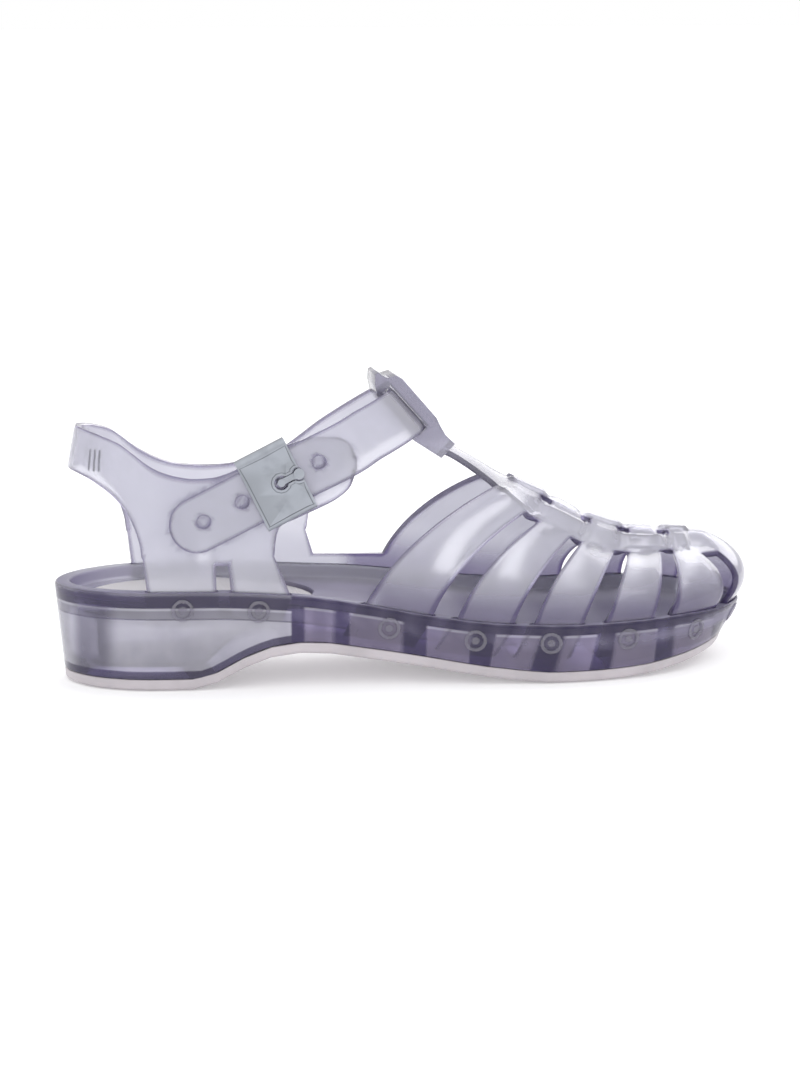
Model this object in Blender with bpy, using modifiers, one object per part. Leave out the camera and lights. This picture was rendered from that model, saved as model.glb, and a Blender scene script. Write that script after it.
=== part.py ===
"""Jelly sandal, right shoe, in Blender 4.5: clear moulded straps on a hollow-heeled sole.

Metres, +Z up, +X towards the toe, the outer (little toe) side at -Y. The origin is on the floor
under the middle of the sole. Run it with blender --background --python part.py.
"""

import math
from collections import namedtuple

import bmesh
import bpy
from mathutils import Vector

# Driving dimensions of the last and the sole
SOLE_LENGTH = 0.2535
BALL_WIDTH = 0.087
HEEL_WIDTH = 0.0585
HEEL_RIM_HEIGHT = 0.0355
BALL_RIM_HEIGHT = 0.0215
ARCH_RISE = 0.0118
TOE_SPRING = 0.006
INSTEP_HEIGHT = 0.0695

# Sole and outsole
OUTSOLE_THICKNESS = 0.0038
RIM_LIP_WIDTH = 0.0056
FOOTBED_DROP = 0.0045
FOOTBED_SLAB = 0.0048
RIM_ROUND = 0.0009
CAVITY_WALL = 0.0064
CAVITY_FLOOR = 0.0030
POCKET_WALL = 0.0090
POCKET_RIB = 0.0032
POCKETS = 5

# Heel pad
PAD_LENGTH = 0.080
PAD_WIDTH = 0.041
PAD_THICKNESS = 0.0022
PAD_BACK_MARGIN = 0.0125
PAD_BEARING = 0.0045

# Upper
WALL = 0.0022
RIM_EDGE = 0.0016
TAB_DEPTH = 0.0122
TAB_FLOOR = 0.0022
WEAVE_RAISE = 0.0009
STRAP_PILLOW = 0.0006
TOE_BULGE = 0.0055
HEEL_STRAP_TOP = 0.0910
BACK_LEAN = 0.0070
SIDE_LEAN = 0.0020
WEB_HEIGHT = 0.0370

# Ankle strap, loop and buckle
ANKLE_STRAP_WIDTH = 0.0195
ANKLE_RISE = 0.0251
ANKLE_HEIGHT = INSTEP_HEIGHT + ANKLE_RISE
ANKLE_WIDTH = 0.058
STRAP_SEAT = 0.0007
HOLE_RADIUS = 0.0023
HOLE_SPACING = 0.0150
LOOP_DEPTH = 0.0059
LOOP_WIDTH = 0.0160
LOOP_MIDDLE = 0.0010
LOOP_ROUND = 0.0010
LOOP_PLAY = 0.0011
PLATE_LENGTH = 0.0190
PLATE_WIDTH = 0.0268
PLATE_THICKNESS = 0.0010
PLATE_PLACE = 0.0306
PLATE_BOW = 0.0005
PLATE_LIP = 0.0030
PLATE_SLOT_WIDTH = 0.0028
PLATE_EYE_RADIUS = 0.0026
EYE_PLACE = 0.0325
PRONG_RADIUS = 0.0014
PRONG_THICKNESS = 0.0013
PRONG_REACH = 0.0068

# Clearance between pieces that touch
GAP = 0.0003
SOCKET_CLEARANCE = 0.00035

# How finely the faceted surfaces follow their curves
AROUND = 72
PAD_SIDES = 40
HOLE_SIDES = 12

# Half widths of the sole's rim as shares of the width that rules there
Width = namedtuple("Width", "along outer inner")
WIDTHS = (
    Width(0.000, 0.000, 0.000),
    Width(0.020, 0.232, 0.232),
    Width(0.050, 0.355, 0.355),
    Width(0.120, 0.474, 0.474),
    Width(0.200, 0.504, 0.496),
    Width(0.300, 0.513, 0.470),
    Width(0.400, 0.478, 0.390),
    Width(0.500, 0.446, 0.350),
    Width(0.600, 0.466, 0.391),
    Width(0.700, 0.506, 0.468),
    Width(0.800, 0.477, 0.500),
    Width(0.880, 0.391, 0.477),
    Width(0.940, 0.264, 0.400),
    Width(0.980, 0.110, 0.268),
    Width(1.000, -0.092, 0.092),
)

# Rim height, as the share of the way from the ball's rim up to the heel's, and the wall's taper
Rim = namedtuple("Rim", "along outer inner taper")
RIMS = (
    Rim(0.00, 1.00, 1.00, 0.10),
    Rim(0.05, 1.00, 1.00, 0.07),
    Rim(0.10, 1.00, 1.00, 0.05),
    Rim(0.20, 0.98, 0.99, 0.04),
    Rim(0.31, 0.84, 0.92, 0.05),
    Rim(0.42, 0.54, 0.80, 0.06),
    Rim(0.51, 0.24, 0.58, 0.07),
    Rim(0.62, 0.02, 0.24, 0.08),
    Rim(0.72, -0.02, 0.03, 0.09),
    Rim(0.86, 0.00, 0.00, 0.14),
    Rim(0.95, -0.06, -0.06, 0.34),
    Rim(1.00, -0.12, -0.12, 0.60),
)

# Underside of the outsole, as shares of the arch rise and of the toe spring
Base = namedtuple("Base", "along arch spring")
BASES = (
    Base(0.000, 0.00, 0.00),
    Base(0.190, 0.00, 0.00),
    Base(0.207, 0.12, 0.00),
    Base(0.238, 0.47, 0.00),
    Base(0.270, 0.77, 0.00),
    Base(0.300, 0.94, 0.00),
    Base(0.340, 1.00, 0.00),
    Base(0.415, 0.80, 0.00),
    Base(0.515, 0.45, 0.00),
    Base(0.585, 0.20, 0.00),
    Base(0.645, 0.04, 0.00),
    Base(0.670, 0.00, 0.00),
    Base(0.750, 0.00, 0.00),
    Base(0.800, 0.00, 0.07),
    Base(0.870, 0.00, 0.34),
    Base(0.940, 0.00, 0.68),
    Base(1.000, 0.00, 1.00),
)

# Top line of the foot: height over the instep, place and half width of the crown, drop at its edge, and how far
# its rows bow back from the middle to the edge, as a share of the sole's length
Crown = namedtuple("Crown", "along height centre half drop bow")
CROWNS = (
    Crown(0.540, 1.180, 0.010, 0.084, 0.022, 0.000),
    Crown(0.560, 1.155, 0.010, 0.086, 0.030, 0.000),
    Crown(0.585, 1.105, 0.010, 0.092, 0.038, 0.000),
    Crown(0.610, 1.050, 0.011, 0.120, 0.052, 0.004),
    Crown(0.630, 1.004, 0.012, 0.166, 0.070, 0.016),
    Crown(0.650, 0.966, 0.014, 0.188, 0.105, 0.028),
    Crown(0.672, 0.928, 0.017, 0.196, 0.140, 0.034),
    Crown(0.697, 0.886, 0.023, 0.198, 0.156, 0.035),
    Crown(0.727, 0.828, 0.029, 0.194, 0.152, 0.034),
    Crown(0.752, 0.776, 0.035, 0.188, 0.142, 0.031),
    Crown(0.783, 0.728, 0.043, 0.182, 0.128, 0.025),
    Crown(0.815, 0.690, 0.052, 0.172, 0.116, 0.016),
    Crown(0.843, 0.670, 0.060, 0.162, 0.104, 0.010),
    Crown(0.870, 0.659, 0.066, 0.152, 0.092, 0.005),
    Crown(0.905, 0.648, 0.073, 0.132, 0.076, 0.002),
    Crown(0.948, 0.628, 0.080, 0.100, 0.058, 0.000),
)

# The cross straps: where each edge leaves the rim and where it meets the weave, as shares of length.
# cells is how many faces span a strap, and lean how far its tab slants back under the rim, as a share of depth.
Strap = namedtuple("Strap", "name outer_rear outer_front top_rear top_front inner_rear inner_front cells lean")
STRAPS = (
    Strap("first", 0.4195, 0.5105, 0.6500, 0.6965, 0.4740, 0.5560, 4, 0.60),
    Strap("second", 0.5430, 0.6215, 0.7135, 0.7570, 0.5950, 0.6620, 3, 0.60),
    Strap("third", 0.6490, 0.7190, 0.7710, 0.8115, 0.7020, 0.7640, 3, 0.50),
    Strap("fourth", 0.7530, 0.8260, 0.8295, 0.8715, 0.8000, 0.8600, 3, 0.20),
    Strap("toe", 0.8555, 0.9380, 0.8885, 0.9180, 0.8900, 0.9440, 3, 0.00),
)
TOE_CAP = Strap("toe_cap", 0.9620, 1.0, 0.9450, 0.9450, 0.9620, 1.0, 1, 0.0)

# Heights of the rows of a strap's faces, from the rim to the weave
STRAP_ROWS = (0.0, 0.11, 0.26, 0.42, 0.58, 0.74, 0.88, 1.0)
EYE_ROW = 6
ARCH_SWEEP = math.radians(56)
ARCH_ADVANCE = 0.38

# The weave's lines across the crown: three strips, their middles, and the holes between them
WEAVE_LINES = (-1.0, -0.71, -0.42, -0.26, 0.0, 0.26, 0.42, 0.71, 1.0)
STRIP_MIDDLES = (1, 4, 7)
HOLE_CELLS = (2, 5)

# Rear quarter: lower and upper ends of each column of faces, as shares of sole length and of its top height
Column = namedtuple("Column", "low_along low_height top_along top_height")
SLING = (
    Column(0.0000, 0.835, 0.0000, 1.000),
    Column(0.0080, 0.832, 0.0080, 0.998),
    Column(0.0300, 0.815, 0.0290, 0.988),
    Column(0.0560, 0.780, 0.0530, 0.974),
    Column(0.0800, 0.724, 0.0750, 0.953),
    Column(0.0970, 0.654, 0.0970, 0.917),
    Column(0.1075, 0.572, 0.1180, 0.878),
)
OUTER_YOKE = (
    Column(0.1115, 0.517, 0.1370, 0.850),
    Column(0.1450, 0.517, 0.1610, 0.830),
    Column(0.1790, 0.517, 0.1850, 0.821),
    Column(0.2120, 0.486, 0.2090, 0.824),
    Column(0.2300, 0.486, 0.2290, 0.838),
    Column(0.2620, 0.517, 0.2530, 0.866),
    Column(0.2930, 0.517, 0.2770, 0.896),
    Column(0.2910, 0.570, 0.2960, 0.921),
    Column(0.3010, 0.626, 0.3180, 0.946),
    Column(0.3270, 0.662, 0.3400, 0.964),
    Column(0.3540, 0.694, 0.3610, 0.971),
    Column(0.3810, 0.733, 0.3820, 0.966),
    Column(0.3985, 0.780, 0.3980, 0.940),
    Column(0.4060, 0.838, 0.4055, 0.895),
)
INNER_YOKE = (
    Column(0.1115, 0.517, 0.1370, 0.845),
    Column(0.1450, 0.517, 0.1610, 0.812),
    Column(0.1790, 0.517, 0.1850, 0.792),
    Column(0.2120, 0.486, 0.2090, 0.784),
    Column(0.2300, 0.486, 0.2290, 0.781),
    Column(0.2650, 0.517, 0.2530, 0.782),
    Column(0.3030, 0.514, 0.2770, 0.792),
    Column(0.3430, 0.512, 0.3010, 0.812),
    Column(0.3700, 0.508, 0.3200, 0.832),
    Column(0.3760, 0.585, 0.3330, 0.846),
)
# The feet of the quarter, by the columns they hang from, with their ends at the rim and at the tab's foot
Foot = namedtuple("Foot", "first last rim_rear rim_front tab_rear tab_front")
OUTER_FEET = (
    Foot(0, 3, 0.1170, 0.2130, 0.1190, 0.2130),
    Foot(4, 6, 0.2330, 0.3150, 0.2380, 0.2960),
)
INNER_FEET = (
    Foot(0, 3, 0.1170, 0.2130, 0.1190, 0.2130),
    Foot(4, 8, 0.2330, 0.3850, 0.2380, 0.3850),
)
QUARTER_ROWS = 6
WEB_CELLS = 3

# The ankle strap's middle, from the inner side over the instep to its loose end on the outer side.
# along and height are shares of the sole's length and of the strap's highest point, across of the ankle's width,
# tilt is in degrees, and seat says how far the strap lies on the quarter: inner side +1, outer side -1.
Station = namedtuple("Station", "along height across tilt seat")
ANKLE_STATIONS = (
    Station(0.3640, 0.7365, 0.430, 34.0, 1.0),
    Station(0.3930, 0.7921, 0.425, 35.0, 0.6),
    Station(0.4250, 0.8546, 0.380, 37.0, 0.0),
    Station(0.4570, 0.9180, 0.305, 39.5, 0.0),
    Station(0.4845, 0.9718, 0.215, 41.5, 0.0),
    Station(0.4982, 0.9975, 0.110, 41.7, 0.0),
    Station(0.4992, 1.0000, -0.030, 41.7, 0.0),
    Station(0.4932, 0.9960, -0.155, 41.0, 0.0),
    Station(0.4670, 0.9700, -0.300, 37.0, 0.0),
    Station(0.4300, 0.9311, -0.405, 31.0, 0.0),
    Station(0.3900, 0.8854, -0.478, 27.5, -0.6),
    Station(0.3550, 0.8427, -0.500, 26.0, -1.0),
    Station(0.3130, 0.7891, -0.500, 26.0, -1.0),
    Station(0.2710, 0.7345, -0.500, 26.0, -1.0),
    Station(0.2290, 0.6799, -0.500, 26.0, -1.0),
    Station(0.1870, 0.6253, -0.500, 26.0, -1.0),
)
ANKLE_CELLS = 44
LOOSE_END_CELLS = 6
LOOP_STATION = 6
LOOP_REACH = 1.7
LOOP_SECTIONS = 8

# The loop's side outline from the middle of the strap: down and out as shares of the strap's width and loop's depth
LoopCorner = namedtuple("LoopCorner", "down out")
LOOP_OUTLINE = (
    LoopCorner(1.090, 0.77),
    LoopCorner(0.843, 0.70),
    LoopCorner(0.640, 0.84),
    LoopCorner(0.496, 0.99),
    LoopCorner(-0.478, 1.04),
    LoopCorner(-0.606, 0.90),
    LoopCorner(-0.670, 0.46),
    LoopCorner(-0.760, 0.30),
    LoopCorner(-0.870, 0.24),
    LoopCorner(-0.885, 0.02),
    LoopCorner(-0.760, -0.40),
    LoopCorner(-0.562, -0.77),
    LoopCorner(-0.384, -0.84),
    LoopCorner(0.516, -0.95),
    LoopCorner(1.110, -0.43),
)

# The strap's holes, the one that the prong goes through counted from the loose end
HOLES = 4
BUCKLE_HOLE = 2

# The buckle plate's section: across as a share of its half width, sink as a share of its lip
PlateFold = namedtuple("PlateFold", "across sink")
PLATE_FOLDS = (
    PlateFold(-1.00, 1.00),
    PlateFold(-1.00, 0.30),
    PlateFold(-0.94, 0.07),
    PlateFold(-0.86, 0.00),
    PlateFold(-0.40, 0.00),
    PlateFold(0.00, 0.00),
    PlateFold(0.40, 0.00),
    PlateFold(0.86, 0.00),
    PlateFold(0.94, 0.07),
    PlateFold(1.00, 0.30),
    PlateFold(1.00, 1.00),
)
PLATE_CELLS = 6

COLOURS = {
    "outsole": (0.47, 0.44, 0.45),
    "sole": (0.20, 0.17, 0.30),
    "heel_pad": (0.62, 0.60, 0.58),
    "upper": (0.50, 0.48, 0.62),
    "buckle": (0.42, 0.44, 0.47),
    "prong": (0.36, 0.38, 0.40),
}
METALS = ("buckle", "prong")
METAL_ROUGHNESS = 0.35
PLASTIC_ROUGHNESS = 0.3


# Small helpers


def mix(a, b, share):
    return a + (b - a) * share


def clamp(value, low=0.0, high=1.0):
    return max(low, min(high, value))


def ease(value):
    value = clamp(value)
    return value * value * (3 - 2 * value)


def read(table, column, at, axis="along"):
    """The column's value at a share of the length, along a curve that never overshoots its rows."""
    places = [getattr(row, axis) for row in table]
    values = [getattr(row, column) for row in table]
    at = clamp(at, places[0], places[-1])
    index = max(i for i in range(len(places) - 1) if places[i] <= at + 1e-12)
    steps = [places[i + 1] - places[i] for i in range(len(places) - 1)]
    slopes = [(values[i + 1] - values[i]) / steps[i] for i in range(len(steps))]

    def tangent(i):
        if i == 0:
            return slopes[0]
        if i == len(slopes):
            return slopes[-1]
        before, after = slopes[i - 1], slopes[i]
        if before * after <= 0:
            return 0.0
        return 2 * before * after / (before + after)

    step = steps[index]
    t = (at - places[index]) / step
    start, end = values[index], values[index + 1]
    bend_in, bend_out = tangent(index) * step, tangent(index + 1) * step
    return (
        start * (2 * t**3 - 3 * t**2 + 1)
        + bend_in * (t**3 - 2 * t**2 + t)
        + end * (3 * t**2 - 2 * t**3)
        + bend_out * (t**3 - t**2)
    )


# The last: a turn runs round the rim, 0 at the back of the heel, -pi and pi at the tip of the toe,
# negative on the outer side and positive on the inner side


def turn_of(along, side):
    return side * math.acos(1 - 2 * clamp(along))


def along_of(turn):
    return (1 - math.cos(turn)) / 2


def length_at(along):
    return (along - 0.5) * SOLE_LENGTH


def ruling_width(along):
    return mix(HEEL_WIDTH, BALL_WIDTH, ease((along - 0.3) / 0.3))


TURN_WIDTHS = tuple(
    namedtuple("TurnWidth", "turn outer inner")(turn_of(row.along, 1), row.outer, row.inner) for row in WIDTHS
)


def outline(turn):
    """The rim's outer edge in plan."""
    turn = math.remainder(turn, 2 * math.pi)
    side = "outer" if turn < 0 else "inner"
    along = along_of(turn)
    half = read(TURN_WIDTHS, side, abs(turn), "turn") * ruling_width(along)
    return Vector((length_at(along), -half if turn < 0 else half))


def heading(turn):
    """The rim's direction in plan, towards larger turns."""
    step = 0.02
    return (outline(turn + step) - outline(turn - step)).normalized()


def inward(turn):
    ahead = heading(turn)
    return Vector((ahead.y, -ahead.x))


def rim_height(turn):
    turn = math.remainder(turn, 2 * math.pi)
    share = read(RIMS, "outer" if turn < 0 else "inner", along_of(turn))
    return mix(BALL_RIM_HEIGHT, HEEL_RIM_HEIGHT, share)


def base_height(along):
    return read(BASES, "arch", along) * ARCH_RISE + read(BASES, "spring", along) * TOE_SPRING


def wall_point(turn, height, inset):
    """A point inside the sole's tapering outer wall, by the inset at the rim's height."""
    drop = max(0.0, rim_height(turn) - height)
    plan = outline(turn) + inward(turn) * (inset + read(RIMS, "taper", along_of(turn)) * drop)
    return Vector((plan.x, plan.y, height))


def footbed_height(turn):
    return rim_height(turn) - FOOTBED_DROP


# Mesh helpers


def new_object(name, bm, collection):
    bmesh.ops.recalc_face_normals(bm, faces=bm.faces)
    mesh = bpy.data.meshes.new(name)
    bm.to_mesh(mesh)
    bm.free()
    obj = bpy.data.objects.new(name, mesh)
    collection.objects.link(obj)
    return obj


def add_rings(bm, rings):
    """Side faces between closed rings of points."""
    rows = [[bm.verts.new(point) for point in ring] for ring in rings]
    count = len(rows[0])
    for low, high in zip(rows, rows[1:]):
        for i in range(count):
            j = (i + 1) % count
            bm.faces.new((low[i], low[j], high[j], high[i]))
    return rows


def cap_by_ladder(bm, ring):
    """Closes a ring with faces straight across it, from its first point to the one opposite."""
    count = len(ring)
    for i in range(count // 2):
        corners = [ring[i], ring[i + 1], ring[count - i - 1], ring[(count - i) % count]]
        kept = list(dict.fromkeys(corners))
        if len(kept) > 2:
            bm.faces.new(kept)


def ring_solid(name, rings, collection):
    """A closed solid from rings whose first point and its opposite lie on the long axis."""
    bm = bmesh.new()
    rows = add_rings(bm, rings)
    cap_by_ladder(bm, rows[0])
    cap_by_ladder(bm, rows[-1])
    return new_object(name, bm, collection)


def section_solid(name, sections, collection):
    """A closed solid through sections of a few corners each."""
    bm = bmesh.new()
    rows = add_rings(bm, sections)
    bm.faces.new(rows[0])
    bm.faces.new(rows[-1])
    return new_object(name, bm, collection)


def add_boolean(obj, other, operation):
    modifier = obj.modifiers.new(f"{operation.title()} {other.name}", "BOOLEAN")
    modifier.operation = operation
    modifier.solver = "EXACT"
    modifier.object = other
    return modifier


def hide_helper(obj):
    obj.hide_render = True
    obj.display_type = "WIRE"
    return obj


def around():
    """Turns round the whole rim, from the toe's tip by the outer side to the heel and back."""
    return [-math.pi + 2 * math.pi * i / AROUND for i in range(AROUND)]


# Sole, outsole and heel pad


def sole_ring(height_of, inset_of):
    return [wall_point(turn, height_of(turn), inset_of(turn)) for turn in around()]


def make_sole(collection, cutters):
    def bottom(turn):
        return base_height(along_of(turn)) + OUTSOLE_THICKNESS + GAP

    rings = (
        sole_ring(bottom, lambda turn: RIM_ROUND),
        sole_ring(lambda turn: bottom(turn) + RIM_ROUND, lambda turn: 0.0),
        sole_ring(lambda turn: rim_height(turn) - RIM_ROUND, lambda turn: 0.0),
        sole_ring(rim_height, lambda turn: RIM_ROUND),
        sole_ring(rim_height, lambda turn: RIM_LIP_WIDTH),
        sole_ring(footbed_height, lambda turn: RIM_LIP_WIDTH),
    )
    sole = ring_solid("sole", rings, collection)
    hollows = (heel_cavity(cutters), pad_mouth(cutters), pad_seat(cutters))
    for cutter in (*hollows, *pockets(cutters), *sockets(cutters)):
        add_boolean(sole, cutter, "DIFFERENCE")
    return sole


def inner_section(along, inset, low, high):
    """A section across the sole, inside its wall."""
    corners = ((-1, low), (1, low), (1, high), (-1, high))
    return [wall_point(turn_of(along, side), height, inset) for side, height in corners]


def heel_cavity(cutters):
    first, last, count = 0.040, 0.292, 12
    sections = []
    for i in range(count + 1):
        along = mix(first, last, i / count)
        low = base_height(along) + OUTSOLE_THICKNESS + CAVITY_FLOOR
        high = footbed_height(turn_of(along, -1)) - FOOTBED_SLAB
        sections.append(inner_section(along, CAVITY_WALL, low, high))
    return hide_helper(section_solid("cut_heel_cavity", sections, cutters))


def pockets(cutters):
    """Hollows under the forefoot, with ribs between them, open towards the outsole."""
    first, last = 0.42, 0.88
    pitch = (last - first) / POCKETS
    rib = POCKET_RIB / SOLE_LENGTH
    made = []
    for k in range(POCKETS):
        start = first + pitch * k
        sections = []
        for step in (0.0, 0.5, 1.0):
            along = start + (pitch - rib) * step
            low = base_height(along)
            high = min(footbed_height(turn_of(along, side)) for side in (-1, 1)) - FOOTBED_SLAB
            sections.append(inner_section(along, POCKET_WALL, low, high))
        made.append(hide_helper(section_solid(f"cut_pocket_{k + 1}", sections, cutters)))
    return made


def pad_ring(margin, lift):
    """An oval of the heel pad's outline, larger by the margin, at a height over the footbed."""
    middle = length_at(0) + PAD_BACK_MARGIN + PAD_LENGTH / 2
    ring = []
    for i in range(PAD_SIDES):
        angle = 2 * math.pi * i / PAD_SIDES
        x = middle + (PAD_LENGTH / 2 + margin) * math.cos(angle)
        y = (PAD_WIDTH / 2 + margin) * math.sin(angle)
        along = x / SOLE_LENGTH + 0.5
        ring.append(Vector((x, y, footbed_height(turn_of(along, -1)) + lift)))
    return ring


def pad_seat(cutters):
    above = FOOTBED_DROP
    rings = (pad_ring(GAP, -PAD_THICKNESS), pad_ring(GAP, above))
    return hide_helper(ring_solid("cut_pad_seat", rings, cutters))


def pad_mouth(cutters):
    """The way from the heel's hollow up to the pad, which closes it."""
    rings = (pad_ring(-PAD_BEARING, -FOOTBED_SLAB - CAVITY_FLOOR), pad_ring(-PAD_BEARING, 0.0))
    return hide_helper(ring_solid("cut_pad_mouth", rings, cutters))


def make_heel_pad(collection):
    rings = (
        pad_ring(0.0, GAP - PAD_THICKNESS),
        pad_ring(0.0, -RIM_ROUND / 2),
        pad_ring(-RIM_ROUND / 2, 0.0),
    )
    return ring_solid("heel_pad", rings, collection)


def make_outsole(collection):
    def ring(lift, inset):
        return sole_ring(lambda turn: base_height(along_of(turn)) + lift, lambda turn: inset)

    rings = (
        ring(0.0, 2 * RIM_ROUND),
        ring(RIM_ROUND, 0.0),
        ring(OUTSOLE_THICKNESS, 0.0),
    )
    return ring_solid("outsole", rings, collection)


# Upper: straps over the last


def tab_depth(turn):
    """How far a strap's foot reaches down into the sole, less where the toe rises."""
    floor = base_height(along_of(turn)) + OUTSOLE_THICKNESS + TAB_FLOOR
    return min(TAB_DEPTH, rim_height(turn) - floor)


def tab_turn(turn, lean):
    """Where a line of a strap ends under the rim, when its tab slants back by this share of its depth."""
    side = -1 if math.remainder(turn, 2 * math.pi) < 0 else 1
    if not lean:
        return turn
    return turn_of(along_of(turn) - lean * tab_depth(turn) / SOLE_LENGTH, side)


def foot_point(line, share, inset=RIM_EDGE, extra=0.0):
    """The upper's outer face on a line (turn at the rim, turn at the tab's foot), share 0 to 1 downwards."""
    turn = mix(line[0], line[1], share)
    return wall_point(turn, rim_height(turn) - tab_depth(turn) * share - extra, inset)


def tab_points(line):
    return [foot_point(line, 1.0), foot_point(line, 0.5)]


def crown_point(along, across):
    """The top of the foot: across runs from -1 at the weave's outer edge to 1 at its inner edge."""
    along -= read(CROWNS, "bow", along) * across * across
    centre = read(CROWNS, "centre", along) * BALL_WIDTH
    half = read(CROWNS, "half", along) * BALL_WIDTH
    drop = read(CROWNS, "drop", along) * INSTEP_HEIGHT
    fall = across * across / (0.35 + 0.65 * abs(across))
    height = read(CROWNS, "height", along) * INSTEP_HEIGHT - drop * fall
    return Vector((length_at(along), centre + across * half, height))


def arch_point(turn, top, rise, bulge=0.0):
    """A point on the arch from the rim up to a point of the crown."""
    foot = foot_point((turn, turn), 0.0)
    into, ahead = inward(turn), heading(turn)
    reach = (top - foot).xy
    angle = ARCH_SWEEP * rise
    over = (1 - math.cos(angle)) / (1 - math.cos(ARCH_SWEEP))
    up = math.sin(angle) / math.sin(ARCH_SWEEP)
    plan = foot.xy + into * (reach.dot(into) * over - bulge * math.sin(math.pi * rise))
    plan += ahead * reach.dot(ahead) * mix(over, up, ARCH_ADVANCE)
    return Vector((plan.x, plan.y, mix(foot.z, top.z, up)))


def strap_bulge(along):
    """How far the arch swells outside the straight way, most at the toe."""
    return TOE_BULGE * ease((along - 0.80) / 0.2)


def strap_column(side, foot_along, top_along, lean):
    """One line of points: tab foot, tab middle, then from the rim up to the weave."""
    turn = turn_of(foot_along, side)
    top = crown_point(top_along, side)
    column = tab_points((turn, tab_turn(turn, lean)))
    return column + [arch_point(turn, top, rise, strap_bulge(foot_along)) for rise in STRAP_ROWS]


def strap_columns(strap, side):
    rear, front = (strap.outer_rear, strap.outer_front) if side < 0 else (strap.inner_rear, strap.inner_front)
    columns = []
    for i in range(strap.cells + 1):
        share = i / strap.cells
        columns.append(
            strap_column(side, mix(rear, front, share), mix(strap.top_rear, strap.top_front, share), strap.lean)
        )
    return columns


def weave_row(along):
    return [crown_point(along, across) for across in WEAVE_LINES]


class Sheet:
    """The upper's outer face as one sheet of quads, built patch by patch and welded at shared points."""

    def __init__(self):
        self.bm = bmesh.new()
        self.lift = self.bm.verts.layers.float.new("lift")

    def patch(self, columns, keep=None, lift=None):
        """Adds faces between neighbouring columns of points. keep and lift take a column's and a row's number."""
        rows = [
            [self.vertex(point, lift(i, j) if lift else 0.0) for j, point in enumerate(column)]
            for i, column in enumerate(columns)
        ]
        for i in range(len(rows) - 1):
            for j in range(len(rows[i]) - 1):
                if keep is None or keep(i, j):
                    self.bm.faces.new((rows[i][j], rows[i + 1][j], rows[i + 1][j + 1], rows[i][j + 1]))

    def vertex(self, point, lift):
        vert = self.bm.verts.new(point)
        vert[self.lift] = lift
        return vert

    def finish(self, name, collection):
        weld = 2e-5
        bmesh.ops.remove_doubles(self.bm, verts=self.bm.verts, dist=weld)
        loose = [vert for vert in self.bm.verts if not vert.link_faces]
        bmesh.ops.delete(self.bm, geom=loose, context="VERTS")
        bmesh.ops.recalc_face_normals(self.bm, faces=self.bm.faces)
        highest = max(self.bm.faces, key=lambda face: face.calc_center_median().z * (abs(face.normal.z) > 0.3))
        if highest.normal.z < 0:
            bmesh.ops.reverse_faces(self.bm, faces=self.bm.faces)
        self.bm.normal_update()
        for vert in self.bm.verts:
            vert.co += vert.normal * vert[self.lift]
        mesh = bpy.data.meshes.new(name)
        self.bm.to_mesh(mesh)
        self.bm.free()
        obj = bpy.data.objects.new(name, mesh)
        collection.objects.link(obj)
        return obj


def pillow(columns):
    """How far a strap's middle swells over its edges."""
    last = len(columns) - 1

    def lift(i, j):
        tab_rows = 2
        if j < tab_rows:
            return 0.0
        rise = STRAP_ROWS[j - tab_rows]
        return STRAP_PILLOW * math.sin(math.pi * i / last) * math.sin(math.pi * rise)

    return lift


def add_straps(sheet):
    for strap in STRAPS:
        for side in (-1, 1):
            columns = strap_columns(strap, side)
            sheet.patch(columns, lift=pillow(columns))


def add_weave(sheet):
    """Rows of faces over the crown: whole under each cross strap, three strips in each gap."""
    for number, strap in enumerate(STRAPS):
        rows = [weave_row(mix(strap.top_rear, strap.top_front, i / strap.cells)) for i in range(strap.cells + 1)]
        sheet.patch(rows, lift=weave_lift(number, strap.cells))
    for strap, following in zip(STRAPS, STRAPS[1:]):
        rows = [weave_row(strap.top_front), weave_row(following.top_rear)]
        sheet.patch(rows, keep=lambda i, j: j not in HOLE_CELLS)


def weave_lift(number, cells):
    """Over and under: where a strip lies over the strap its ends rise, where it lies under they sink."""

    def lift(i, j):
        inside = 0 < i < cells
        if j in STRIP_MIDDLES:
            over = (STRIP_MIDDLES.index(j) + number) % 2
            if inside:
                return WEAVE_RAISE
            return WEAVE_RAISE / 2 if over else 0.0
        return 0.0

    return lift


def cap_turns():
    """Turns of the toe cap's lines, from its outer edge round the tip to its inner edge."""
    first = turn_of(TOE_CAP.outer_rear, -1)
    last = turn_of(TOE_CAP.inner_rear, 1) - 2 * math.pi
    count = len(WEAVE_LINES) - 1
    return [mix(first, last, i / count) for i in range(count + 1)]


def cap_column(turn, across):
    top = crown_point(TOE_CAP.top_rear, across)
    return tab_points((turn, turn)) + [arch_point(turn, top, rise, TOE_BULGE) for rise in STRAP_ROWS]


def add_toe_cap(sheet):
    last = STRAPS[-1]
    sheet.patch([weave_row(last.top_front), weave_row(TOE_CAP.top_rear)])
    columns = [cap_column(turn, across) for turn, across in zip(cap_turns(), WEAVE_LINES)]
    sheet.patch(columns)
    tab_rows = 2
    for side, edge in ((-1, columns[0]), (1, columns[-1])):
        neighbour = strap_columns(last, side)[-1]
        sheet.patch([neighbour, edge], keep=lambda i, j: j >= tab_rows + EYE_ROW)


def add_t_bar(sheet):
    """The crown's rows go on behind the first strap as the bar that carries the loop."""
    rows = [weave_row(along) for along in (0.545, 0.560, 0.575, 0.590, 0.602, 0.613, STRAPS[0].top_rear)]
    sheet.patch(rows)


# Upper: the quarter, the web and the ankle strap


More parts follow.
